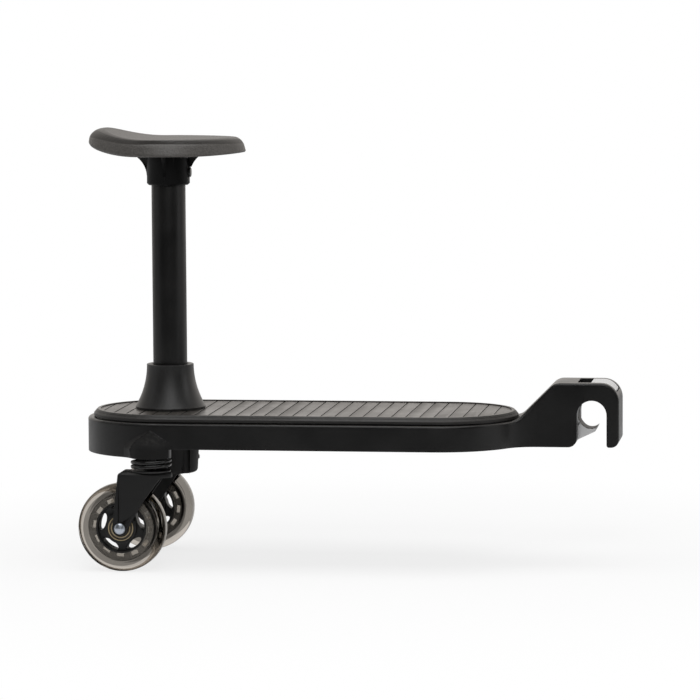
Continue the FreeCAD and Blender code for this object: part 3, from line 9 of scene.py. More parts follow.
import bmesh
import bpy
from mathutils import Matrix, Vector

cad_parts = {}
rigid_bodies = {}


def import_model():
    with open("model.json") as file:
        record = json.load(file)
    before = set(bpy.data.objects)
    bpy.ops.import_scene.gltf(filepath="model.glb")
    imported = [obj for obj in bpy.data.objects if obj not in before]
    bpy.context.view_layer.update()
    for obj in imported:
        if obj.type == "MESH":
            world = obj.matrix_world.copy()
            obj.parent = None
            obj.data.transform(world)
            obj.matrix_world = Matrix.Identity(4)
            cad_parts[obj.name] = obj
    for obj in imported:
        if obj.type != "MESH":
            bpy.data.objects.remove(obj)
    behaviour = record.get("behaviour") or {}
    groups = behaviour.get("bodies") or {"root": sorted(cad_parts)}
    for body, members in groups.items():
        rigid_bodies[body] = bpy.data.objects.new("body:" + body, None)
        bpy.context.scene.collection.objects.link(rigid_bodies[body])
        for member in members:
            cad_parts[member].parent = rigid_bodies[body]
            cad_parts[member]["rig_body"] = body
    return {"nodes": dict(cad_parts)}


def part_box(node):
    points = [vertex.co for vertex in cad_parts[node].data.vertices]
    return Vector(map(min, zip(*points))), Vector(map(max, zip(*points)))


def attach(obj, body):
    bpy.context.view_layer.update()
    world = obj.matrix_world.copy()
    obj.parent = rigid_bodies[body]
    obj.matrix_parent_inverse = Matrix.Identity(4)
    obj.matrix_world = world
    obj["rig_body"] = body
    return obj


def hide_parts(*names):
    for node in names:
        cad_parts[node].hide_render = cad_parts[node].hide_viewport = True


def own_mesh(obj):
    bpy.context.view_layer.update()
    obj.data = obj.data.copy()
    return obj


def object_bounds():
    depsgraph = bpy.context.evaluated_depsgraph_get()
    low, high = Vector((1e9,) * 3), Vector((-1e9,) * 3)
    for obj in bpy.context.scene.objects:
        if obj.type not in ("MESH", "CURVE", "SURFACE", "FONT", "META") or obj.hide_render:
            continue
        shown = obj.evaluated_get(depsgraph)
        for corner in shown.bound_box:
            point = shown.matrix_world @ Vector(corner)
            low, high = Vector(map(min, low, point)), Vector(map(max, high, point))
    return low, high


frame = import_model()
CAD_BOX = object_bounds()

LOG = logging.getLogger("buggy_board")
WELD = 1e-6
SKIN_WELD = WELD * 20
FLAT_ANGLE = math.radians(0.4)
SHARP_ANGLE = math.radians(32.0)
CORNER_SHARE = 0.45
COIL_STEPS = 48
WIRE_SIDES = 16
MIX_SOCKETS = (0, 6, 7)
MIX_RESULT = 2

Colour = tuple[float, float, float, float]
Point = tuple[float, float]
Triple = tuple[float, float, float]
Socket = bpy.types.NodeSocket
Node = bpy.types.Node
Tree = bpy.types.NodeTree
Material = bpy.types.Material
Piece = bpy.types.Object
Shape = bmesh.types.BMesh


class Axis(Enum):
    """The axis that a turned piece is made about."""

    Y = "y"
    Z = "z"

    def point(self, radius: float, along: float, angle: float) -> Vector:
        """A point at a radius, a height along the axis and a turn about it."""
        side, up = radius * math.cos(angle), radius * math.sin(angle)
        return Vector((side, along, up)) if self is Axis.Y else Vector((side, up, along))


class Effect(Enum):
    """Shared shader node groups: name, inputs, outputs and the detail of their noise."""

    GRAIN = ("moulded grain", "Density", "Height", 3.0)
    DRIFT = ("tone drift", "Base Drift Density", "Color Value", 5.0)
    WEAR = ("edge wear", "Amount Density", "Mask", 6.0)
    DUST = ("settled dust", "Amount Density", "Mask", 8.0)
    HAIRLINES = ("fine hairlines", "Density", "Value", 4.0)


class Texture(Enum):
    """The small relief that a finish carries: a shared effect, and the output that holds its height."""

    SPARK = (Effect.GRAIN, "Height")
    PEEL = (Effect.DRIFT, "Value")
    DRAWN = (Effect.HAIRLINES, "Value")


class Side(Enum):
    """The two casters."""

    LEFT = "left"
    RIGHT = "right"


def tone(level: float, warmth: float = 0.0) -> Colour:
    """A grey of a linear level, pushed towards red by its warmth."""
    return (level * (1 + warmth), level, level * (1 - warmth), 1.0)


class Canvas:
    """Adds, places and links nodes in one node tree."""

    def __init__(self, tree: Tree) -> None:
        """Keeps the tree."""
        self.tree = tree

    def add(self, kind: str, **settings: object) -> Node:
        """Adds a node.

        Args:
            kind: The node's type, without its ShaderNode prefix.
            settings: Properties of the node, or default values of its inputs by name.

        Returns:
            The new node.
        """
        node = self.tree.nodes.new("ShaderNode" + kind)
        for name, value in settings.items():
            if hasattr(node, name):
                setattr(node, name, value)
            else:
                node.inputs[name.replace("_", " ").title()].default_value = value
        return node

    def link(self, source: Socket, target: Socket) -> None:
        """Joins an output to an input."""
        self.tree.links.new(source, target)

    def math(self, operation: str, first: Socket, second: Socket) -> Socket:
        """Works on two values.

        Args:
            operation: The name of the math operation.
            first: The first value.
            second: The second value.

        Returns:
            The socket that carries the result, kept between 0 and 1.
        """
        node = self.add("Math", operation=operation, use_clamp=True)
        self.link(first, node.inputs[0])
        self.link(second, node.inputs[1])
        return node.outputs[0]

    def spread(self, value: Socket, limits: Point, results: Point = (0.0, 1.0)) -> Socket:
        """Maps a value between two limits smoothly onto two results.

        Args:
            value: The value.
            limits: Where the change starts and ends.
            results: What these two become.

        Returns:
            The socket that carries the result.
        """
        node = self.add("MapRange", interpolation_type="SMOOTHSTEP")
        for name, number in zip(("From Min", "From Max", "To Min", "To Max"), (*limits, *results)):
            node.inputs[name].default_value = number
        self.link(value, node.inputs["Value"])
        return node.outputs["Result"]

    def mix(self, mask: Socket, first: Socket, second: Socket | Colour) -> Socket:
        """Blends two colours by a mask.

        Args:
            mask: The share of the second colour.
            first: The colour where the mask is 0.
            second: The colour where the mask is 1, as a socket or a plain colour.

        Returns:
            The socket that carries the blended colour.
        """
        node = self.add("Mix", data_type="RGBA")
        for index, value in zip(MIX_SOCKETS, (mask, first, second)):
            if isinstance(value, Socket):
                self.link(value, node.inputs[index])
            else:
                node.inputs[index].default_value = value
        return node.outputs[MIX_RESULT]

    def blend(self, mask: Socket, first: Node, second: Node) -> Node:
        """Mixes two shaders by a mask.

        Args:
            mask: The share of the second shader.
            first: The shader where the mask is 0.
            second: The shader where the mask is 1.

        Returns:
            The node that mixes them.
        """
        node = self.add("MixShader")
        for target, value in zip(node.inputs, (mask, first.outputs[0], second.outputs[0])):
            self.link(value, target)
        return node

    def place(self, effect: Effect, **values: object) -> Node:
        """Places a shared effect with its own values.

        Args:
            effect: The effect.
            values: Values of the group's inputs by name.

        Returns:
            The group's node.
        """
        node = self.tree.nodes.new("ShaderNodeGroup")
        node.node_tree = EffectShelf.group(effect)
        for name, value in values.items():
            node.inputs[name.title()].default_value = value
        return node


class EffectShelf(Canvas):
    """The canvas of a shared node group, which is made once and handed out."""

    COLOURS = ("Base", "Drift", "Color")
    DRIFT_SPAN = (0.32, 0.68)
    EDGE_SPAN = (0.52, 0.62)
    RUBBED_SPAN = (0.35, 0.65)
    LEVEL_SPAN = (0.3, 1.0)
    DUST_SPAN = (0.4, 0.75)
    LINE_SPAN = (0.3, 0.7)
    LINE_STRETCH = (1, 1, 0.02)

    def __init__(self, effect: Effect) -> None:
        """Starts an effect's node group and declares its sockets.

        Args:
            effect: The effect.
        """
        title, inputs, outputs, self.detail = effect.value
        super().__init__(bpy.data.node_groups.new(title, "ShaderNodeTree"))
        for way, names in (("INPUT", inputs), ("OUTPUT", outputs)):
            for name in names.split():
                kind = "NodeSocketColor" if name in self.COLOURS else "NodeSocketFloat"
                self.tree.interface.new_socket(name=name, in_out=way, socket_type=kind)
        self.given = self.tree.nodes.new("NodeGroupInput").outputs
        self.result = self.tree.nodes.new("NodeGroupOutput").inputs

    @classmethod
    def group(cls, effect: Effect) -> Tree:
        """The node group of an effect, made on its first use.

        Args:
            effect: The effect.

        Returns:
            Its node group.
        """
        made = bpy.data.node_groups.get(effect.value[0])
        if made:
            return made
        shelf = cls(effect)
        makers = {Effect.GRAIN: shelf.grain, Effect.DRIFT: shelf.drift, Effect.WEAR: shelf.wear,
                  Effect.DUST: shelf.dust, Effect.HAIRLINES: shelf.hairlines}
        makers[effect]()
        return shelf.tree

    def noise(self, span: Point | None = None, stretch: Triple = (1, 1, 1)) -> Socket:
        """Noise in the piece's own space.

        Args:
            span: The values that are spread to 0 and 1, if any.
            stretch: Its scale along each of the piece's axes.

        Returns:
            The socket that carries the noise.
        """
        mapping = self.add("Mapping")
        mapping.inputs["Scale"].default_value = stretch
        noise = self.add("TexNoise", detail=self.detail)
        self.link(self.add("TexCoord").outputs["Object"], mapping.inputs["Vector"])
        self.link(mapping.outputs["Vector"], noise.inputs["Vector"])
        self.link(self.given["Density"], noise.inputs["Scale"])
        return self.spread(noise.outputs["Fac"], span) if span else noise.outputs["Fac"]

    def mask(self, place: Socket, breaks: Socket) -> None:
        """Gives out a mask: where it lies, broken by noise, times the amount asked for."""
        broken = self.math("MULTIPLY", place, breaks)
        self.link(self.math("MULTIPLY", broken, self.given["Amount"]), self.result["Mask"])

    def grain(self) -> None:
        """Pebbled mould grain: rounded cells broken by fine noise."""
        cells = self.add("TexVoronoi", feature="SMOOTH_F1")
        self.link(self.add("TexCoord").outputs["Object"], cells.inputs["Vector"])
        self.link(self.given["Density"], cells.inputs["Scale"])
        self.link(self.math("MULTIPLY", self.noise(), cells.outputs["Distance"]), self.result["Height"])

    def drift(self) -> None:
        """A slow change between two close colours."""
        mask = self.noise(self.DRIFT_SPAN)
        self.link(self.mix(mask, self.given["Base"], self.given["Drift"]), self.result["Color"])
        self.link(mask, self.result["Value"])

    def wear(self) -> None:
        """Rubbed convex edges, broken by noise."""
        edge = self.spread(self.add("NewGeometry").outputs["Pointiness"], self.EDGE_SPAN)
        self.mask(edge, self.noise(self.RUBBED_SPAN))

    def dust(self) -> None:
        """Fine dust on the faces that look up."""
        split = self.add("SeparateXYZ")
        self.link(self.add("NewGeometry").outputs["Normal"], split.inputs[0])
        level = self.spread(split.outputs["Z"], self.LEVEL_SPAN)
        self.mask(level, self.noise(self.DUST_SPAN))

    def hairlines(self) -> None:
        """Thin lines along the piece's Z axis, as drawn or polished metal has."""
        self.link(self.noise(self.LINE_SPAN, self.LINE_STRETCH), self.result["Value"])


def blank_material(name: str) -> tuple[Material, Canvas]:
    """A new material without nodes, and its canvas.

    Args:
        name: The material's name.

    Returns:
        The material and its canvas.
    """
    material = bpy.data.materials.new(name)
    material.use_nodes = True
    material.node_tree.nodes.clear()
    return material, Canvas(material.node_tree)


@dataclass(frozen=True)
class Finish:
    """An opaque finish with relief, tone drift, rubbed edges and dust."""

    name: str
    base: Colour
    drift: Colour
    roughness: Point
    grain_density: float = 1500.0
    grain_depth: float = 0.00003
    texture: Texture = Texture.SPARK
    drift_density: float = 22.0
    worn: Colour = (0.10, 0.098, 0.095, 1.0)
    wear: float = 0.35
    dusty: Colour = (0.30, 0.28, 0.26, 1.0)
    dust: float = 0.05
    metallic: float = 0.0
    specular: float = 0.5
    rounding: float = 0.0
    rounding_samples: int = 6
    wear_fineness: float = 6.0
    dust_fineness: float = 14.0

    def material(self) -> Material:
        """The finish's material, made on its first use.

        Returns:
            The material.
        """
        made = bpy.data.materials.get(self.name + "_finish")
        if made:
            return made
        material, canvas = blank_material(self.name + "_finish")
        shader = canvas.add("BsdfPrincipled")
        canvas.link(shader.outputs[0], canvas.add("OutputMaterial").inputs["Surface"])
        drift = canvas.place(Effect.DRIFT, base=self.base, drift=self.drift, density=self.drift_density)
        canvas.link(self.tint(canvas, drift.outputs["Color"]), shader.inputs["Base Color"])
        canvas.link(canvas.spread(drift.outputs["Value"], (0.0, 1.0), self.roughness), shader.inputs["Roughness"])
        bump = canvas.add("Bump", distance=self.grain_depth)
        canvas.link(self.relief(canvas), bump.inputs["Height"])
        if self.rounding:
            bevel = canvas.add("Bevel", samples=self.rounding_samples, radius=self.rounding)
            canvas.link(bevel.outputs["Normal"], bump.inputs["Normal"])
        canvas.link(bump.outputs["Normal"], shader.inputs["Normal"])
        for name, level in self.levels().items():
            shader.inputs[name].default_value = level
        return material

    def relief(self, canvas: Canvas) -> Socket:
        """The height of the finish's small relief."""
        effect, height = self.texture.value
        return canvas.place(effect, density=self.grain_density).outputs[height]

    def tint(self, canvas: Canvas, colour: Socket) -> Socket:
        """The colour with rubbed edges and dust over it.

        Args:
            canvas: The material's canvas.
            colour: The finish's own colour.

        Returns:
            The changed colour.
        """
        wear = canvas.place(Effect.WEAR, amount=self.wear, density=self.drift_density * self.wear_fineness)
        dust = canvas.place(Effect.DUST, amount=self.dust, density=self.drift_density * self.dust_fineness)
        rubbed = canvas.mix(wear.outputs["Mask"], colour, self.worn)
        return canvas.mix(dust.outputs["Mask"], rubbed, self.dusty)

    def levels(self) -> dict[str, float]:
        """The plain values of the shader's own sockets."""
        return {"Metallic": self.metallic, "Specular IOR Level": self.specular}


@dataclass(frozen=True)
class ClearFinish(Finish):
    """A clear cast finish with faint flow marks, and painted shade where it is seen at a slant."""

    clarity: float = 1.0
    index: float = 1.12
    # edge: the colour of the painted shade laid on the clear finish where it is seen at a slant.
    edge: Colour = (0.16, 0.148, 0.132, 1.0)
    rim_shade_span: Point = (0.50, 0.95)

    def tint(self, canvas: Canvas, colour: Socket) -> Socket:
        """The colour, with painted shade for the camera where the surface turns away from it.

        Args:
            canvas: The material's canvas.
            colour: The finish's own colour.

        Returns:
            The changed colour.
        """
        # Painted shade: for camera rays the colour turns to the edge colour where the surface is seen at a slant.
        slant = canvas.spread(canvas.add("LayerWeight").outputs["Facing"], self.rim_shade_span)
        painted_rim_shade = canvas.math("MULTIPLY", slant, canvas.add("LightPath").outputs["Is Camera Ray"])
        return canvas.mix(painted_rim_shade, colour, self.edge)

    def levels(self) -> dict[str, float]:
        """The plain values of the shader's own sockets."""
        return {"Transmission Weight": self.clarity, "IOR": self.index}


DECK_PLASTIC = Finish("deck_plastic", tone(0.0025), tone(0.0035, 0.03), (0.30, 0.38), specular=0.36,
                      wear=0.0, rounding=0.0008)
POD_PLASTIC = replace(DECK_PLASTIC, name="deck_pod_plastic", roughness=(0.75, 0.85), specular=0.30)
SOCKET_PLASTIC = Finish("socket_plastic", tone(0.006, 0.05), tone(0.008, 0.05), (0.52, 0.62), specular=0.3)
COLLAR_PLASTIC = Finish("collar_plastic", tone(0.006), tone(0.008, 0.02), (0.36, 0.44), specular=0.55)
BRACKET_PLASTIC = Finish("bracket_plastic", tone(0.002), tone(0.003), (0.40, 0.48), specular=0.08)
BUSH_PLASTIC = Finish("bush_plastic", tone(0.02), tone(0.03), (0.45, 0.55))
CORE_PLASTIC = Finish("core_plastic", tone(0.004), tone(0.006, 0.05), (0.32, 0.42), specular=0.3)
COVER_PLASTIC = Finish("cover_plastic", tone(0.006), tone(0.008), (0.48, 0.58), specular=0.3)
MAT_RUBBER = Finish("mat_rubber", tone(0.029, 0.14), tone(0.037, 0.14), (0.30, 0.38), specular=0.45,
                    grain_density=1200.0, grain_depth=0.00005, worn=tone(0.12, 0.05), wear=0.12,
                    dusty=tone(0.22, 0.06), dust=0.04)
# A darker copy of the mat's rubber: painted shade for its sides, bevel and groove walls.
MAT_SHADED_SIDES = Finish("mat_rubber_painted_shade", tone(0.010, 0.09), tone(0.014, 0.09), (0.44, 0.54),
                  grain_density=1200.0, specular=0.4)
SEAT_SKIN = Finish("seat_moulding", tone(0.040, 0.09), tone(0.062, 0.09), (0.44, 0.54), drift_density=600.0,
                   grain_density=480.0, grain_depth=0.0004, specular=0.6, worn=tone(0.12, 0.05), wear=0.3,
                   dusty=tone(0.2, 0.05), dust=0.05)
# A darker copy of the seat's moulding: painted shade in the band under the top's edge.
SEAT_SHADE_BAND = Finish("seat_painted_shade_band", tone(0.026, 0.1), tone(0.036, 0.1), (0.46, 0.56), grain_density=480.0,
                   grain_depth=0.0004, wear=0.1, dust=0.02)
LATCH_PLASTIC = Finish("latch_plastic", tone(0.56), tone(0.62), (0.40, 0.50), worn=tone(0.66), dust=0.03)
GRIP_RUBBER = Finish("grip_rubber", tone(0.020, 0.12), tone(0.030, 0.12), (0.50, 0.60), grain_density=900.0)
POST_PAINT = Finish("post_paint", tone(0.004), tone(0.006, 0.05), (0.32, 0.40), grain_density=700.0,
                    grain_depth=0.00002, texture=Texture.PEEL, specular=0.35)
FORK_PAINT = Finish("fork_paint", tone(0.005), tone(0.007), (0.36, 0.46), grain_density=800.0,
                    grain_depth=0.00003, texture=Texture.PEEL, worn=tone(0.3), wear=0.4, specular=0.28)
SEAT_PAINT = Finish("spring_seat_paint", tone(0.006), tone(0.008), (0.26, 0.34), texture=Texture.PEEL)
SPRING_STEEL = Finish("spring_steel", tone(0.003), tone(0.005), (0.10, 0.16), grain_density=600.0,
                      grain_depth=0.00001, texture=Texture.PEEL, specular=0.4)
LATCH_STEEL = Finish("latch_spring_steel", tone(0.45), tone(0.52), (0.24, 0.34), metallic=1.0, texture=Texture.DRAWN)
SCREW_STEEL = Finish("screw_steel", tone(0.42), tone(0.50), (0.28, 0.38), metallic=1.0, worn=tone(0.7))
BOLT_STEEL = Finish("bolt_steel", tone(0.006), tone(0.009), (0.24, 0.32), worn=tone(0.25))
PIN_STEEL = Finish("pin_steel", tone(0.04), tone(0.06), (0.26, 0.34), metallic=1.0, texture=Texture.DRAWN)
RIVET_STEEL = Finish("rivet_steel", (0.44, 0.48, 0.54, 1.0), (0.52, 0.56, 0.62, 1.0), (0.30, 0.38), metallic=1.0,
                     worn=tone(0.85))
BEARING_STEEL = Finish("bearing_steel", (0.36, 0.29, 0.18, 1.0), (0.44, 0.36, 0.23, 1.0), (0.26, 0.34), metallic=1.0,
                       worn=(0.7, 0.6, 0.42, 1.0))
BEARING_SHIELD = Finish("bearing_shield", (0.030, 0.022, 0.013, 1.0), (0.045, 0.034, 0.021, 1.0), (0.40, 0.50))
# The clear tyre finishes below all carry the painted shade of ClearFinish at their slanted edges.
TYRE_CLEAR = ClearFinish("tyre_clear", (0.46, 0.424, 0.382, 1.0), (0.52, 0.48, 0.434, 1.0), (0.02, 0.06),
                         grain_density=300.0, grain_depth=0.00001, texture=Texture.PEEL)
TYRE_FLANK = replace(TYRE_CLEAR, name="tyre_flank", base=(0.090, 0.083, 0.074, 1.0), drift=(0.125, 0.116, 0.103, 1.0))
TYRE_CHEEK = replace(TYRE_CLEAR, name="tyre_cheek", base=(0.34, 0.312, 0.275, 1.0), drift=(0.40, 0.368, 0.325, 1.0),
                     roughness=(0.04, 0.09), clarity=0.78)


def rounded(corners: Sequence[Point], radius: float, steps: int = 4) -> list[Point]:
    """Rounds the corners of a closed outline.

    Args:
        corners: (radius, height) corners in order.
        radius: How far the rounding reaches along each edge.
        steps: Straight steps in each rounding.

    Returns:
        The rounded outline.
    """
    outline = []
    for index, corner in enumerate(corners):
        here = Vector(corner)
        back = Vector(corners[index - 1]) - here
        ahead = Vector(corners[(index + 1) % len(corners)]) - here
        reach = min(radius, back.length * CORNER_SHARE, ahead.length * CORNER_SHARE)
        first, last = here + back.normalized() * reach, here + ahead.normalized() * reach
        for step in range(steps + 1):
            share = step / steps
            curve = first * (1 - share) ** 2 + here * 2 * share * (1 - share) + last * share ** 2
            outline.append((curve.x, curve.y))
    return outline


def quarter(steps: int) -> list[Point]:
    """Cosine and sine at even steps through a quarter turn."""
    turns = [math.pi / 2 * step / steps for step in range(steps + 1)]
    return [(math.cos(turn), math.sin(turn)) for turn in turns]


def flare(inner: float, outer: float, rise: float, steps: int) -> list[Point]:
    """A hollow sweep from an outer radius to an inner one.

    Args:
        inner: The radius where it ends.
        outer: The radius where it starts.
        rise: Its height.
        steps: Its straight steps.

    Returns:
        (radius, height) points.
    """
    run = outer - inner
    sweep = (run ** 2 + rise ** 2) / (2 * run)
    heights = [rise * step / steps for step in range(steps + 1)]
    return [(inner + sweep - math.sqrt(sweep ** 2 - (rise - up) ** 2), up) for up in heights]


def join_rings(shape: Shape, rings: Sequence[Sequence[bmesh.types.BMVert]], looped: bool = True,
               closed: bool = True) -> list[bmesh.types.BMFace]:
    """Fills the walls between rings of corners, ring by ring and side by side.

    Args:
        shape: The shape that the corners belong to.
        rings: Rings with the same number of corners.
        looped: Whether the last ring joins the first one.
        closed: Whether each ring's last corner joins its first one.

    Returns:
        The walls.
    """
    walls, count = [], len(rings[0])
    for index in range(len(rings) if looped else len(rings) - 1):
        ring, after = rings[index], rings[(index + 1) % len(rings)]
        for side in range(count if closed else count - 1):
            ahead = (side + 1) % count
            walls.append(shape.faces.new((ring[side], ring[ahead], after[ahead], after[side])))
    return walls


def show(name: str, data: bpy.types.ID) -> Piece:
    """A new object in the scene that carries a mesh, a lamp or a camera.

    Args:
        name: The object's name.
        data: What it carries.

    Returns:
        The object.
    """
    shown = bpy.data.objects.new(name, data)
    bpy.context.scene.collection.objects.link(shown)
    return shown


def as_object(name: str, shape: Shape) -> Piece:
    """Turns a built shape into a smooth-shaded object with crisp edges.

    Args:
        name: The object's name.
        shape: The built shape, which is freed.

    Returns:
        The object.
    """
    bmesh.ops.remove_doubles(shape, verts=shape.verts, dist=WELD)
    bmesh.ops.recalc_face_normals(shape, faces=shape.faces)
    mesh = bpy.data.meshes.new(name)
    shape.to_mesh(mesh)
    shape.free()
    mesh.shade_smooth()
    mesh.set_sharp_from_angle(angle=SHARP_ANGLE)
    return show(name, mesh)


def lathe(name: str, outlines: Sequence[Sequence[Point]], place: Vector, axis: Axis, steps: int = 96) -> Piece:
    """Turns closed outlines about an axis.

    Args:
        name: The piece's name.
        outlines: Closed (radius, height) outlines, one per solid.
        place: A point on the axis.
        axis: The axis's direction.
        steps: Straight steps in a full turn.

    Returns:
        The turned piece.
    """
    shape = bmesh.new()
    for outline in outlines:
        rings = []
        for step in range(steps):
            angle = 2 * math.pi * step / steps
            rings.append([shape.verts.new(place + axis.point(radius, along, angle)) for radius, along in outline])
        join_rings(shape, rings)
    return as_object(name, shape)


def coil(name: str, start: Vector, along: Vector, radius: float, wire: float, turns: float) -> Piece:
    """Winds a round wire into a spring.

    Args:
        name: The piece's name.
        start: Middle of the first turn, on the spring's axis.
        along: From the start to the middle of the last turn.
        radius: From the axis to the middle of the wire.
        wire: The wire's diameter.
        turns: How many turns.

    Returns:
        The spring.
    """
    shape = bmesh.new()
    way = along.normalized()
    right = way.orthogonal().normalized()
    up = way.cross(right)
    steps = int(turns * COIL_STEPS)
    rings = []
    for step in range(steps + 1):
        angle = 2 * math.pi * turns * step / steps
        outward = right * math.cos(angle) + up * math.sin(angle)
        middle = start + along * (step / steps) + outward * radius
        ring = []
        for side in range(WIRE_SIDES):
            turn = 2 * math.pi * side / WIRE_SIDES
            ring.append(shape.verts.new(middle + (outward * math.cos(turn) + way * math.sin(turn)) * (wire / 2)))
        rings.append(ring)
    join_rings(shape, rings, looped=False)
    shape.faces.new(rings[0])
    shape.faces.new(rings[-1])
    return as_object(name, shape)


def soften(node: str, edge: float, segments: int = 2) -> Piece:
    """A copy of a solid's mesh whose sharp edges are rounded.

    Args:
        node: The solid to copy.
        edge: Width of the rounding.
        segments: Steps across the rounding.

    Returns:
        The softened copy.
    """
    shape = bmesh.new()
    shape.from_mesh(frame["nodes"][node].data)
    bmesh.ops.remove_doubles(shape, verts=shape.verts, dist=SKIN_WELD)
    bmesh.ops.dissolve_limit(shape, angle_limit=FLAT_ANGLE, verts=shape.verts, edges=shape.edges)
    bmesh.ops.triangulate(shape, faces=[face for face in shape.faces if len(face.verts) > 4])
    piece = as_object(node + "_skin", shape)
    bevel = piece.modifiers.new("rounded edges", "BEVEL")
    bevel.width = edge
    bevel.segments = segments
    bevel.limit_method = "ANGLE"
    bevel.angle_limit = SHARP_ANGLE
    bevel.use_clamp_overlap = False
    bevel.harden_normals = True
    return piece


def settle(piece: Piece, finish: Finish, *nodes: str) -> Piece:
    """Hangs a piece on the body of the solids it stands for and gives it their finish.

    Args:
        piece: The finished piece.
        finish: Its finish.
        nodes: The solids it stands for.

    Returns:
        The piece.
    """
    piece.data.materials.clear()
    piece.data.materials.append(finish.material())
    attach(piece, frame["nodes"][nodes[0]]["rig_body"])
    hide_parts(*nodes)
    LOG.info("%s stands for %s", piece.name, ", ".join(nodes))
    return piece


def trim(piece: Piece, finish: Finish, faces: Sequence[int]) -> None:
    """Gives some faces of a dressed piece a second finish.

    Args:
        piece: The piece.
        finish: The second finish.
        faces: The faces' numbers.
    """
    piece.data.materials.append(finish.material())
    for index in faces:
        piece.data.polygons[index].material_index = len(piece.data.materials) - 1


def dress(node: str, finish: Finish) -> Piece:
    """Gives a solid that is shown as it is its finish.

    Args:
        node: The solid.
        finish: Its finish.

    Returns:
        The solid's object.
    """
    solid = frame["nodes"][node]
    solid.data.materials[0] = finish.material()
    LOG.info("%s is shown as it is", node)
    return solid


def middle_of(node: str) -> Vector:
    """The middle of a solid's box."""
    low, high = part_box(node)
    return (low + high) / 2


@dataclass
class DeckAssembly:
    """The deck with its mat, the collar round the post and the socket under it."""

    pod_side: float = 0.0853
    mat_edge: float = 0.00025
    mat_shade_level: float = 0.95
    mat_bevel: Point = (0.003, 0.0032)
    lip_drop: float = 0.0015
    frame_width: float = 0.004
    frame_rise: float = 0.0010
    frame_bite: float = 0.0012
    frame_round: float = 0.0003
    frame_skin: float = 0.00005
    frame_steps: int = 48
    small_edge: float = 0.0004
    collar_top_radius: float = 0.0241
    collar_foot_edge: float = 0.0025
    collar_gap: float = 0.0001
    collar_crest: Point = (0.0012, 0.0004)
    collar_lip: float = 0.0022
    collar_spigot: float = 0.004
    collar_toe: float = 0.0006
    collar_steps: int = 24

    def build(self) -> None:
        """Builds and dresses the pieces."""
        deck = dress("deck_body", DECK_PLASTIC)
        trim(deck, POD_PLASTIC, [face.index for face in deck.data.polygons if abs(face.center.y) > self.pod_side])
        self.mat()
        self.collar()
        settle(soften("post_socket", self.small_edge), SOCKET_PLASTIC, "post_socket")
        dress("socket_screws", SCREW_STEEL)

    def frame_outline(self, radius: float, top: float) -> list[Point]:
        """The cut through the mat's frame, whose outer side runs on from the bevel.

        Args:
            radius: Half the width of the mat's top.
            top: Height of the mat's top.

        Returns:
            (radius, height) points, the radius taken from the middle of the mat's round end.
        """
        slope = self.mat_bevel[0] / self.mat_bevel[1]
        edge, inner = radius + self.frame_skin, radius - self.frame_width
        low, high = top - self.frame_bite, top + self.frame_rise
        foot, crest = edge + self.frame_bite * slope, edge - self.frame_rise * slope
        return rounded([(inner, low), (foot, low), (crest, high), (inner, high)], self.frame_round)

    def mat(self) -> None:
        """The mat, with a raised frame that closes its grooves, a lip that hangs over the deck's plateau, and painted
        shade on its faces that do not look up.
        """
        piece = soften("mat", self.mat_edge)
        low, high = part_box("mat")
        post = middle_of("seat_post")
        radius = (high.y - low.y) / 2
        for vertex in piece.data.vertices:
            outside = math.hypot(vertex.co.x - post.x, vertex.co.y - post.y) > radius / 2
            if outside and vertex.co.z < low.z + self.mat_edge:
                vertex.co.z -= self.lip_drop
        outline = self.frame_outline(radius - self.mat_bevel[0], high.z)
        shape = bmesh.new()
        shape.from_mesh(piece.data)
        rings = []
        for centre, start in ((high.x - radius, -math.pi / 2), (low.x + radius, math.pi / 2)):
            place = Vector((centre, 0, 0))
            for step in range(self.frame_steps + 1):
                turn = start + math.pi * step / self.frame_steps
                rings.append([shape.verts.new(place + Axis.Z.point(r, z, turn)) for r, z in outline])
        walls = join_rings(shape, rings)
        bmesh.ops.recalc_face_normals(shape, faces=walls)
        for wall in walls:
            wall.smooth = True
        shape.to_mesh(piece.data)
        shape.free()
        settle(piece, MAT_RUBBER, "mat")
        # Painted shade: faces that do not look up get the darker copy of the rubber.
        trim(piece, MAT_SHADED_SIDES, [face.index for face in piece.data.polygons if face.normal.z < self.mat_shade_level])

    def collar(self) -> None:
        """The bell-shaped collar, turned about the post."""
        low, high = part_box("post_collar")
        post = middle_of("seat_post")
        bore = (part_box("seat_post")[1].x - post.x) + self.collar_gap
        foot, top = high.x - post.x, self.collar_top_radius
        mat_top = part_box("mat")[1].z
        waist = mat_top + self.collar_foot_edge
        bell = [(reach, waist + up) for reach, up in flare(top, foot, high.z - waist, self.collar_steps)]
        over, above = self.collar_crest
        lip = [(top - over, high.z + above), (bore + self.collar_lip, high.z), (bore, high.z - self.collar_lip)]
        neck = foot - self.collar_spigot
        base = [(bore, low.z), (neck, low.z), (neck, mat_top), (foot - self.collar_toe, mat_top)]
        piece = lathe("collar", [[*base, *bell, *lip]], Vector((post.x, post.y, 0)), Axis.Z)
        settle(piece, COLLAR_PLASTIC, "post_collar")


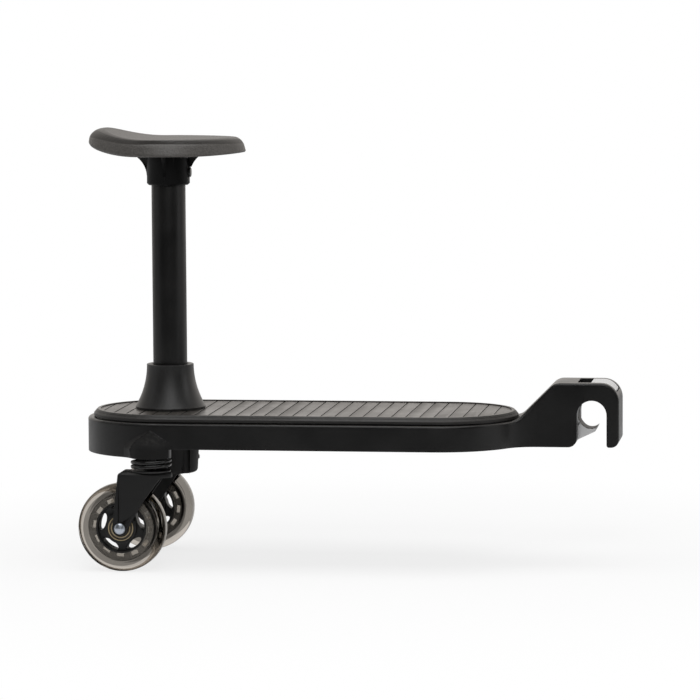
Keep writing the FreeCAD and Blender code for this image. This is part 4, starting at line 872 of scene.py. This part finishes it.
@dataclass
class SeatAssembly:
    """The seat on its post, with the bracket between them."""

    back_reach: float = 0.0815
    nose_reach: float = 0.080
    back_radius: float = 0.063
    nose_radius: float = 0.056
    side_radius: float = 0.086
    top: float = 0.437
    draft: float = 0.26
    side_edge: tuple[Point, ...] = ((0.0006, 0.0007), (0.0012, 0.0014), (0.0012, 0.0021), (0.0012, 0.0029),
                                    (0.0012, 0.0037), (0.0012, 0.0045), (0.0013, 0.0051), (0.0019, 0.0057),
                                    (0.0030, 0.0058), (0.0042, 0.0058))
    back_edge: Point = (0.0165, 0.0125)
    nose_edge: Point = (0.0078, 0.0078)
    nose_flatness: float = 0.5
    edge_power: float = 1.5
    shade_band_span: tuple[int, int] = (17, 22)
    dish_start: float = 0.014
    dish_radius: float = 0.132
    keel_lift: float = 0.0105
    keel_run: float = 0.060
    bow_lift: float = 0.0025
    bow_run: float = 0.050
    foot_round: float = 0.0015
    back_foot_round: float = 0.004
    under_shares: tuple[float, ...] = (0.0, 0.25, 0.5, 0.75, 0.9)
    crown_shares: tuple[float, ...] = (0.98, 0.94, 0.86, 0.76, 0.64, 0.5, 0.34, 0.17, 0.0)
    foot_steps: int = 6
    side_steps: int = 4
    around: int = 180
    post_wall: float = 0.002
    rib_reach: float = 0.0365
    rib_root: float = 0.022
    rib_drop: float = 0.0235
    rib_thickness: float = 0.0034
    rib_bite: float = 0.001
    rib_steps: int = 12
    small_edge: float = 0.0004
    axis_x: float = field(init=False)
    floor: float = field(init=False)

    def __post_init__(self) -> None:
        """Finds the post's axis and the seat's underside."""
        self.axis_x = middle_of("seat_post").x
        self.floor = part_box("seat")[0].z

    def build(self) -> None:
        """Builds and dresses the pieces."""
        self.post()
        self.bracket()
        settle(soften("bracket_bolt", self.small_edge), BOLT_STEEL, "bracket_bolt")
        self.saddle()
        dress("bracket_nut", BOLT_STEEL)
        dress("seat_screws", BOLT_STEEL)
        dress("post_plug", SOCKET_PLASTIC)

    def post(self) -> None:
        """The round tube."""
        low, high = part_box("seat_post")
        radius = (high.x - low.x) / 2
        bore = radius - self.post_wall
        corners = [(bore, low.z), (radius, low.z), (radius, high.z), (bore, high.z)]
        piece = lathe("post", [rounded(corners, self.small_edge)], Vector((self.axis_x, 0, 0)), Axis.Z)
        settle(piece, POST_PAINT, "seat_post")

    def bracket(self) -> None:
        """The ribbed bracket, whose rear rib runs on over the nut."""
        sweep = flare(self.rib_root, self.rib_reach, self.rib_drop, self.rib_steps)
        edge = [(self.axis_x - reach, self.floor - drop) for reach, drop in sweep]
        root = self.axis_x - self.rib_root + self.rib_bite
        outline = [*edge, (root, self.floor - self.rib_drop), (root, self.floor)]
        shape = bmesh.new()
        shape.from_mesh(frame["nodes"]["seat_bracket"].data)
        half = self.rib_thickness / 2
        sides = [[shape.verts.new((x, y, z)) for x, z in outline] for y in (-half, half)]
        for side in sides:
            shape.faces.new(side)
        join_rings(shape, sides, looped=False)
        settle(as_object("bracket", shape), BRACKET_PLASTIC, "seat_bracket")

    def rim_point(self, angle: float, inset: float) -> Vector:
        """The seat's plan outline: three radii a side, tangent to one another.

        Args:
            angle: Direction of the outline's outward normal, from +X.
            inset: How far inside the outline.

        Returns:
            The point in the XY plane.
        """
        back_x = self.axis_x - self.back_reach + self.back_radius
        nose_x = self.axis_x + self.nose_reach - self.nose_radius
        to_back, to_nose = self.side_radius - self.back_radius, self.side_radius - self.nose_radius
        span = nose_x - back_x
        along = (to_back ** 2 - to_nose ** 2 + span ** 2) / (2 * span)
        drop = math.sqrt(to_back ** 2 - along ** 2)
        turn = abs(math.remainder(angle, 2 * math.pi))
        side = 1 if math.sin(angle) >= 0 else -1
        if turn < math.atan2(drop, span - along):
            centre, radius = Vector((nose_x, 0)), self.nose_radius
        elif turn < math.atan2(drop, -along):
            centre, radius = Vector((back_x + along, -side * drop)), self.side_radius
        else:
            centre, radius = Vector((back_x, 0)), self.back_radius
        return centre + Vector((math.cos(angle), math.sin(angle))) * (radius - inset)

    def top_at(self, x: float) -> float:
        """Height of the seat's top: flat, then sweeping up to the back."""
        run = max(0.0, self.axis_x - self.dish_start - x)
        return self.top + self.dish_radius - math.sqrt(self.dish_radius ** 2 - run ** 2)

    def bottom_at(self, x: float) -> float:
        """Height of the seat's underside: flat, lifting at both ends.

        Args:
            x: A place along the board.

        Returns:
            The height there.
        """
        back = max(0.0, (self.axis_x - self.back_reach + self.keel_run - x) / self.keel_run)
        nose = max(0.0, (x - self.axis_x - self.nose_reach + self.bow_run) / self.bow_run)
        return self.floor + self.keel_lift * back ** 2 + self.bow_lift * nose ** 2

    def edge_points(self, angle: float) -> list[Point]:
        """The upper edge at a place round the seat: creased along the sides, slanted at the nose, round at the back.

        Args:
            angle: Direction of the outline's outward normal.

        Returns:
            How far each point lies inside the top of the side, and how far above it.
        """
        ahead = math.cos(angle)
        share = abs(ahead) ** self.edge_power
        run, drop = self.nose_edge if ahead > 0 else self.back_edge
        flatness = self.nose_flatness if ahead > 0 else 0.0
        points = []
        for step, (inward, upward) in enumerate(self.side_edge, 1):
            part = step / len(self.side_edge)
            turn = math.pi / 2 * part
            far_in = run * (flatness * part + (1 - flatness) * (1 - math.cos(turn)))
            far_up = drop * (flatness * part + (1 - flatness) * math.sin(turn))
            points.append((inward + (far_in - inward) * share, upward + (far_up - upward) * share))
        return points

    def section(self, angle: float) -> list[Vector]:
        """One cut through the seat, from the middle of its underside over its edge to the middle of its top.

        Args:
            angle: Direction of the cut's outward normal.

        Returns:
            The cut's points.
        """
        middle = Vector((self.axis_x, 0))
        foot = self.foot_round + (self.back_foot_round - self.foot_round) * max(0.0, -math.cos(angle))
        under = [(share, foot, 0.0) for share in self.under_shares]
        under += [(1.0, foot * (1 - up), foot * (1 - out)) for out, up in quarter(self.foot_steps)]
        points = []
        for share, inset, lift in under:
            flat = middle + (self.rim_point(angle, inset) - middle) * share
            points.append(Vector((flat.x, flat.y, self.bottom_at(flat.x) + lift)))
        upper = self.edge_points(angle)
        run, drop = upper[-1]
        floor = self.bottom_at(self.rim_point(angle, 0.0).x) + foot
        crown = self.top_at(self.rim_point(angle, run).x)
        shoulder = max(crown - drop, floor)
        lean = (shoulder - floor) * self.draft
        shares = [step / self.side_steps for step in range(1, self.side_steps + 1)]
        side = [(lean * share, floor + (shoulder - floor) * share) for share in shares]
        side += [(lean + inward, shoulder + (crown - shoulder) * upward / drop) for inward, upward in upper]
        for inset, height in side:
            flat = self.rim_point(angle, inset)
            points.append(Vector((flat.x, flat.y, height)))
        inner = self.rim_point(angle, lean + run)
        for share in self.crown_shares:
            flat = middle + (inner - middle) * share
            points.append(Vector((flat.x, flat.y, self.top_at(flat.x))))
        return points

    def saddle(self) -> None:
        """The seat's moulding, with a band of painted shade under its edge."""
        shape = bmesh.new()
        sections = []
        for step in range(self.around):
            sections.append([shape.verts.new(point) for point in self.section(2 * math.pi * step / self.around)])
        join_rings(shape, sections, closed=False)
        piece = settle(as_object("saddle", shape), SEAT_SKIN, "seat")
        # Painted shade: the faces of the band under the top's edge get the darker copy of the moulding.
        count, band = len(sections[0]) - 1, range(*self.shade_band_span)
        trim(piece, SEAT_SHADE_BAND, [face.index for face in piece.data.polygons if face.index % count in band])


@dataclass
class LatchAssembly:
    """The sprung latch in the hook."""

    edge: float = 0.0007
    edge_steps: int = 3
    seam: float = 0.0009
    tip_setback: float = 0.004
    bar_axis: Point = (0.24725, 0.1575)
    bar_radius: float = 0.0155
    spring_wire: float = 0.0011
    spring_turns: float = 8.0
    travel: float = 0.013

    def build(self) -> None:
        """Builds and dresses the pieces."""
        button = soften("latch_button", self.edge, self.edge_steps)
        self.draw_back(button, "latch_button", self.seam)
        settle(button, LATCH_PLASTIC, "latch_button")
        jaw = soften("latch_jaw", self.edge, self.edge_steps)
        grip = self.grip_faces(jaw)
        self.draw_back(jaw, "latch_jaw", self.tip_setback, self.bar_axis[1])
        trim(settle(jaw, LATCH_PLASTIC, "latch_jaw"), GRIP_RUBBER, grip)
        settle(soften("latch_cover", self.edge / 2), COVER_PLASTIC, "latch_cover")
        dress("cover_screws", SCREW_STEEL)
        self.spring()

    def grip_faces(self, jaw: Piece) -> list[int]:
        """The faces of the jaw that hold the bar.

        Args:
            jaw: The jaw, before its tip is drawn back.

        Returns:
            The faces' numbers.
        """
        axis = Vector(self.bar_axis)
        return [face.index for face in jaw.data.polygons
                if (Vector((face.center.x, face.center.z)) - axis).length < self.bar_radius]

    @staticmethod
    def draw_back(piece: Piece, node: str, setback: float, ceiling: float = math.inf) -> None:
        """Draws the front half of a piece back.

        Args:
            piece: The softened copy of a solid.
            node: The solid.
            setback: How far its front end moves back.
            ceiling: The height above which nothing moves.
        """
        low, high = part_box(node)
        start = (low.x + high.x) / 2
        for vertex in piece.data.vertices:
            if vertex.co.z < ceiling:
                vertex.co.x -= setback * max(0.0, (vertex.co.x - start) / (high.x - start))

    def spring(self) -> None:
        """The return spring."""
        low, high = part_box("latch_spring")
        middle = (low + high) / 2
        radius = (high.y - low.y - self.spring_wire) / 2
        start = Vector((low.x + self.spring_wire / 2, middle.y, middle.z))
        along = Vector((high.x - low.x - self.spring_wire, 0, 0))
        piece = coil("latch_return_spring", start, along, radius, self.spring_wire, self.spring_turns)
        settle(piece, LATCH_STEEL, "latch_spring")
        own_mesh(piece)


@dataclass
class Caster:
    """One sprung swivelling caster."""

    side: Side
    fork_edge: float = 0.0009
    fork_edge_steps: int = 3
    core_edge: float = 0.0004
    spring_wire: float = 0.0038
    spring_swell: float = 0.0007
    spring_turns: float = 2.0
    travel: float = 0.002
    washer_bore: float = 0.0053
    washer_edge: float = 0.0007
    tread_flat: float = 0.008
    shoulder: float = 0.007
    shoulder_steps: int = 8
    tyre_steps: int = 128
    cheek_radius: float = 0.0259
    cheek_half: float = 0.010
    lip_radius: float = 0.0345
    flank_radius: float = 0.0384
    lip_round: float = 0.0008
    lip_steps: int = 3
    core_radius: float = 0.0129
    race_wall: float = 0.0010
    race_edge: float = 0.0003
    race_edge_steps: int = 2
    cap_span: Point = (0.0088, 0.0099)
    shield_depth: float = 0.0016
    bearing_width: float = 0.008
    rivet_radius: float = 0.004
    rivet_rise: float = 0.0035
    dome_steps: int = 10
    rivet_steps: int = 64
    sleeve_radius: float = 0.00505

    def node(self, name: str) -> str:
        """The full name of one of this caster's solids."""
        return f"{self.side.value}_{name}"

    def build(self) -> None:
        """Builds and dresses the pieces."""
        self.spring()
        self.seat()
        settle(soften(self.node("fork"), self.fork_edge, self.fork_edge_steps), FORK_PAINT, self.node("fork"))
        self.rivet()
        settle(soften(self.node("wheel_core"), self.core_edge), CORE_PLASTIC, self.node("wheel_core"))
        self.tyre()
        self.bearings()
        for name, finish in (("bush", BUSH_PLASTIC), ("kingpin", PIN_STEEL), ("axle_sleeve", PIN_STEEL),
                             ("axle_spacers", BUSH_PLASTIC)):
            dress(self.node(name), finish)

    @staticmethod
    def inside(piece: Piece, middle: Vector, radius: float, half: float) -> list[int]:
        """The faces of a turned piece within a radius of its axle and a distance of its middle.

        Args:
            piece: The turned piece.
            middle: Its middle.
            radius: The largest radius of a face's middle.
            half: The largest distance of a face's middle along the axle.

        Returns:
            The faces' numbers.
        """
        faces = []
        for face in piece.data.polygons:
            away = face.center - middle
            if math.hypot(away.x, away.z) < radius and abs(away.y) < half:
                faces.append(face.index)
        return faces

    def spring(self) -> None:
        """The short stout spring."""
        low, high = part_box(self.node("spring"))
        middle = (low + high) / 2
        radius = (high.x - low.x - self.spring_wire) / 2 + self.spring_swell
        start = Vector((middle.x, middle.y, low.z + self.spring_wire / 2))
        along = Vector((0, 0, high.z - low.z - self.spring_wire))
        piece = coil(self.node("coil"), start, along, radius, self.spring_wire, self.spring_turns)
        settle(piece, SPRING_STEEL, self.node("spring"))
        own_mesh(piece)

    def seat(self) -> None:
        """The washer that the spring stands on."""
        low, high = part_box(self.node("spring_seat"))
        middle = (low + high) / 2
        radius, bore = (high.x - low.x) / 2, self.washer_bore
        corners = [(bore, low.z), (radius, low.z), (radius, high.z), (bore, high.z)]
        outline = rounded(corners, self.washer_edge)
        piece = lathe(self.node("washer"), [outline], Vector((middle.x, middle.y, 0)), Axis.Z)
        settle(piece, SEAT_PAINT, self.node("spring_seat"))

    def tyre(self) -> None:
        """The clear tyre, cast over the core's flange, with round shoulders over a narrow tread."""
        low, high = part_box(self.node("tyre"))
        middle = (low + high) / 2
        radius, half, flat = (high.z - low.z) / 2, (high.y - low.y) / 2, self.tread_flat / 2
        shoulder = [(radius - self.shoulder * (1 - up), flat + (half - flat) * out)
                    for out, up in quarter(self.shoulder_steps)]
        cheek = [(self.cheek_radius, self.cheek_half), (self.lip_radius, self.cheek_half), (self.lip_radius, half)]
        far = [*cheek, *shoulder]
        outline = rounded([*[(r, -y) for r, y in far], *reversed(far)], self.lip_round, self.lip_steps)
        piece = lathe(self.node("clear_tyre"), [outline], middle, Axis.Y, self.tyre_steps)
        settle(piece, TYRE_CLEAR, self.node("tyre"))
        trim(piece, TYRE_FLANK, self.inside(piece, middle, self.flank_radius, math.inf))
        lip = self.lip_radius - self.lip_round
        trim(piece, TYRE_CHEEK, self.inside(piece, middle, lip, self.cheek_half + WELD))

    def bearings(self) -> None:
        """The two bearings: outer race, sunk ring and cap."""
        low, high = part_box(self.node("bearings"))
        middle = (low + high) / 2
        radius, half, bore = (high.z - low.z) / 2, (high.y - low.y) / 2, self.sleeve_radius
        inner, outer = self.cap_span
        race = radius - self.race_wall
        outlines = []
        for way in (-1, 1):
            face, back = way * half, way * (half - self.bearing_width)
            sunk = face - way * self.shield_depth
            corners = [(bore, back), (radius, back), (radius, face), (race, face), (race, sunk),
                       (outer, sunk), (outer, face), (inner, face), (inner, sunk), (bore, sunk)]
            outlines.append(rounded(corners, self.race_edge, self.race_edge_steps))
        piece = lathe(self.node("ball_bearings"), outlines, middle, Axis.Y)
        settle(piece, BEARING_STEEL, self.node("bearings"))
        trim(piece, BEARING_SHIELD, self.inside(piece, middle, self.core_radius, half - self.shield_depth / 2))

    def rivet(self) -> None:
        """The axle rivet, with a domed head at each end."""
        low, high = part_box(self.node("axle_rivet"))
        middle = (low + high) / 2
        head, half = (high.z - low.z) / 2, (high.y - low.y) / 2
        dome = [(head * out, half - self.rivet_rise * (1 - up)) for out, up in quarter(self.dome_steps)]
        near = [(r, -y) for r, y in reversed(dome)]
        neck = half - self.rivet_rise
        outline = [*near, (self.rivet_radius, -neck), (self.rivet_radius, neck), *dome]
        piece = lathe(self.node("rivet"), [outline], middle, Axis.Y, self.rivet_steps)
        settle(piece, RIVET_STEEL, self.node("axle_rivet"))


@dataclass(frozen=True)
class Lamp:
    """A soft box: its place, its width and height in metres and its power in watts."""

    name: str
    place: Triple
    size: Point
    power: float

    def hang(self, target: Vector) -> None:
        """Hangs the lamp so that it faces a target.

        Args:
            target: What it faces.
        """
        data = bpy.data.lights.new(self.name, "AREA")
        data.shape = "RECTANGLE"
        data.size, data.size_y = self.size
        data.energy = self.power
        lamp = show(self.name, data)
        lamp.location = self.place
        lamp.rotation_euler = (Vector(self.place) - target).to_track_quat("Z", "Y").to_euler()


LAMPS = (Lamp("left soft box", (-2.0, -0.5, 1.0), (0.8, 1.4), 2.2),
         Lamp("right soft box", (2.1, -0.3, 1.0), (0.8, 1.4), 5.0),
         Lamp("front soft box", (0.2, -2.2, 1.7), (0.9, 0.6), 18.0),
         Lamp("top soft box", (0.0, -0.4, 2.6), (2.4, 2.0), 40.0))


@dataclass
class Studio:
    """The pale floor, the soft lamps, the dark card in front, the surround and the camera."""

    azimuth: float = 8.0
    elevation: float = 5.4
    roll: float = -0.35
    eye: Triple = (0.53645, -3.8355, 0.5855)
    lens: float = 195.43
    sensor: float = 36.0
    clip: float = 100.0
    floor_half: float = 6.0
    floor_tones: Point = (0.86, 0.90)
    floor_drift: float = 1.5
    floor_roughness: float = 0.9
    floor_specular: float = 0.1
    floor_glow: Point = (0.78, 1.0)
    glow_span: Point = (0.30, 0.75)
    fill: float = 0.34
    mirror_levels: Point = (0.05, 1.0)
    mirror_span: Point = (-0.25, 0.9)
    mirror_tint: Colour = (1.0, 0.955, 0.91, 1.0)
    card_size: Point = (1.3, 0.375)
    card_level: float = 0.02
    card_place: Triple = (0.0, -0.8, 0.375)

    def build(self) -> None:
        """Sets the whole studio."""
        self.camera()
        self.floor()
        self.card()
        self.world()
        middle = (CAD_BOX[0] + CAD_BOX[1]) / 2
        for lamp in LAMPS:
            lamp.hang(middle)
        bpy.context.scene.view_settings.view_transform = "Standard"

    def camera(self) -> None:
        """Places the camera as the photograph shows the board."""
        azimuth, elevation = math.radians(self.azimuth), math.radians(self.elevation)
        level = math.cos(elevation)
        back = Vector((math.sin(azimuth) * level, -math.cos(azimuth) * level, math.sin(elevation)))
        data = bpy.data.cameras.new("camera")
        data.lens = self.lens
        data.sensor_width = self.sensor
        data.clip_end = self.clip
        camera = show("camera", data)
        camera.location = self.eye
        camera.rotation_euler = back.to_track_quat("Z", "Y").to_matrix().to_euler()
        camera.rotation_euler.rotate_axis("Z", math.radians(self.roll))
        bpy.context.scene.camera = camera

    def floor(self) -> None:
        """A wide pale floor that keeps the shadow under the board and runs out into white."""
        shape = bmesh.new()
        bmesh.ops.create_grid(shape, x_segments=1, y_segments=1, size=self.floor_half)
        floor = as_object("floor", shape)
        material, canvas = blank_material("pale_floor")
        paint = canvas.add("BsdfPrincipled", roughness=self.floor_roughness)
        paint.inputs["Specular IOR Level"].default_value = self.floor_specular
        first, second = (tone(level) for level in self.floor_tones)
        drift = canvas.place(Effect.DRIFT, base=first, drift=second, density=self.floor_drift)
        canvas.link(drift.outputs["Color"], paint.inputs["Base Color"])
        away = canvas.add("VectorMath", operation="LENGTH")
        canvas.link(canvas.add("TexCoord").outputs["Object"], away.inputs[0])
        path = canvas.add("LightPath")
        seen = canvas.math("ADD", path.outputs["Is Camera Ray"], path.outputs["Is Transmission Ray"])
        share = canvas.math("MULTIPLY", seen, canvas.spread(away.outputs["Value"], self.glow_span, self.floor_glow))
        shown = canvas.blend(share, paint, canvas.add("Emission"))
        canvas.link(shown.outputs[0], canvas.add("OutputMaterial").inputs["Surface"])
        floor.data.materials.append(material)

    def card(self) -> None:
        """A dark card on the camera's side of the board, seen only in reflections."""
        shape = bmesh.new()
        half, rise = self.card_size
        place = Vector(self.card_place)
        corners = [(-half, -rise), (half, -rise), (half, rise), (-half, rise)]
        shape.faces.new([shape.verts.new(place + Vector((x, 0, z))) for x, z in corners])
        card = as_object("dark card", shape)
        material = bpy.data.materials.new("dark_card")
        material.use_nodes = True
        paint = material.node_tree.nodes["Principled BSDF"]
        paint.inputs["Base Color"].default_value = tone(self.card_level)
        paint.inputs["Roughness"].default_value = 1.0
        card.data.materials.append(material)
        for ray in ("camera", "diffuse", "transmission", "shadow", "volume_scatter"):
            setattr(card, "visible_" + ray, False)

    def world(self) -> None:
        """A white surround to look at, a dim one to light with, and one to mirror, bright only behind the board."""
        world = bpy.data.worlds.new("studio")
        world.use_nodes = True
        world.node_tree.nodes.clear()
        canvas = Canvas(world.node_tree)
        light, white, mirror = (canvas.add("Background") for _ in range(3))
        light.inputs["Strength"].default_value = self.fill
        split = canvas.add("SeparateXYZ")
        canvas.link(canvas.add("TexCoord").outputs["Generated"], split.inputs[0])
        canvas.link(canvas.spread(split.outputs["Y"], self.mirror_span, self.mirror_levels), mirror.inputs["Strength"])
        for node, colour in ((light, tone(1.0)), (white, tone(1.0)), (mirror, self.mirror_tint)):
            node.inputs["Color"].default_value = colour
        path = canvas.add("LightPath")
        mirrored = canvas.blend(path.outputs["Is Glossy Ray"], light, mirror)
        seen = canvas.math("ADD", path.outputs["Is Camera Ray"], path.outputs["Is Transmission Ray"])
        shown = canvas.blend(seen, mirrored, white)
        canvas.link(shown.outputs[0], canvas.add("OutputWorld").inputs["Surface"])
        bpy.context.scene.world = world


def write_sizes() -> None:
    """Brings the scene's objects up to date."""
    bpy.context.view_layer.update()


def main() -> None:
    """Builds the board's sub-assemblies, then the studio round them."""
    logging.basicConfig(level=logging.INFO, format="%(name)s: %(message)s")
    DeckAssembly().build()
    SeatAssembly().build()
    LatchAssembly().build()
    for side in Side:
        Caster(side).build()
    write_sizes()
    Studio().build()


if __name__ == "__main__":
    main()
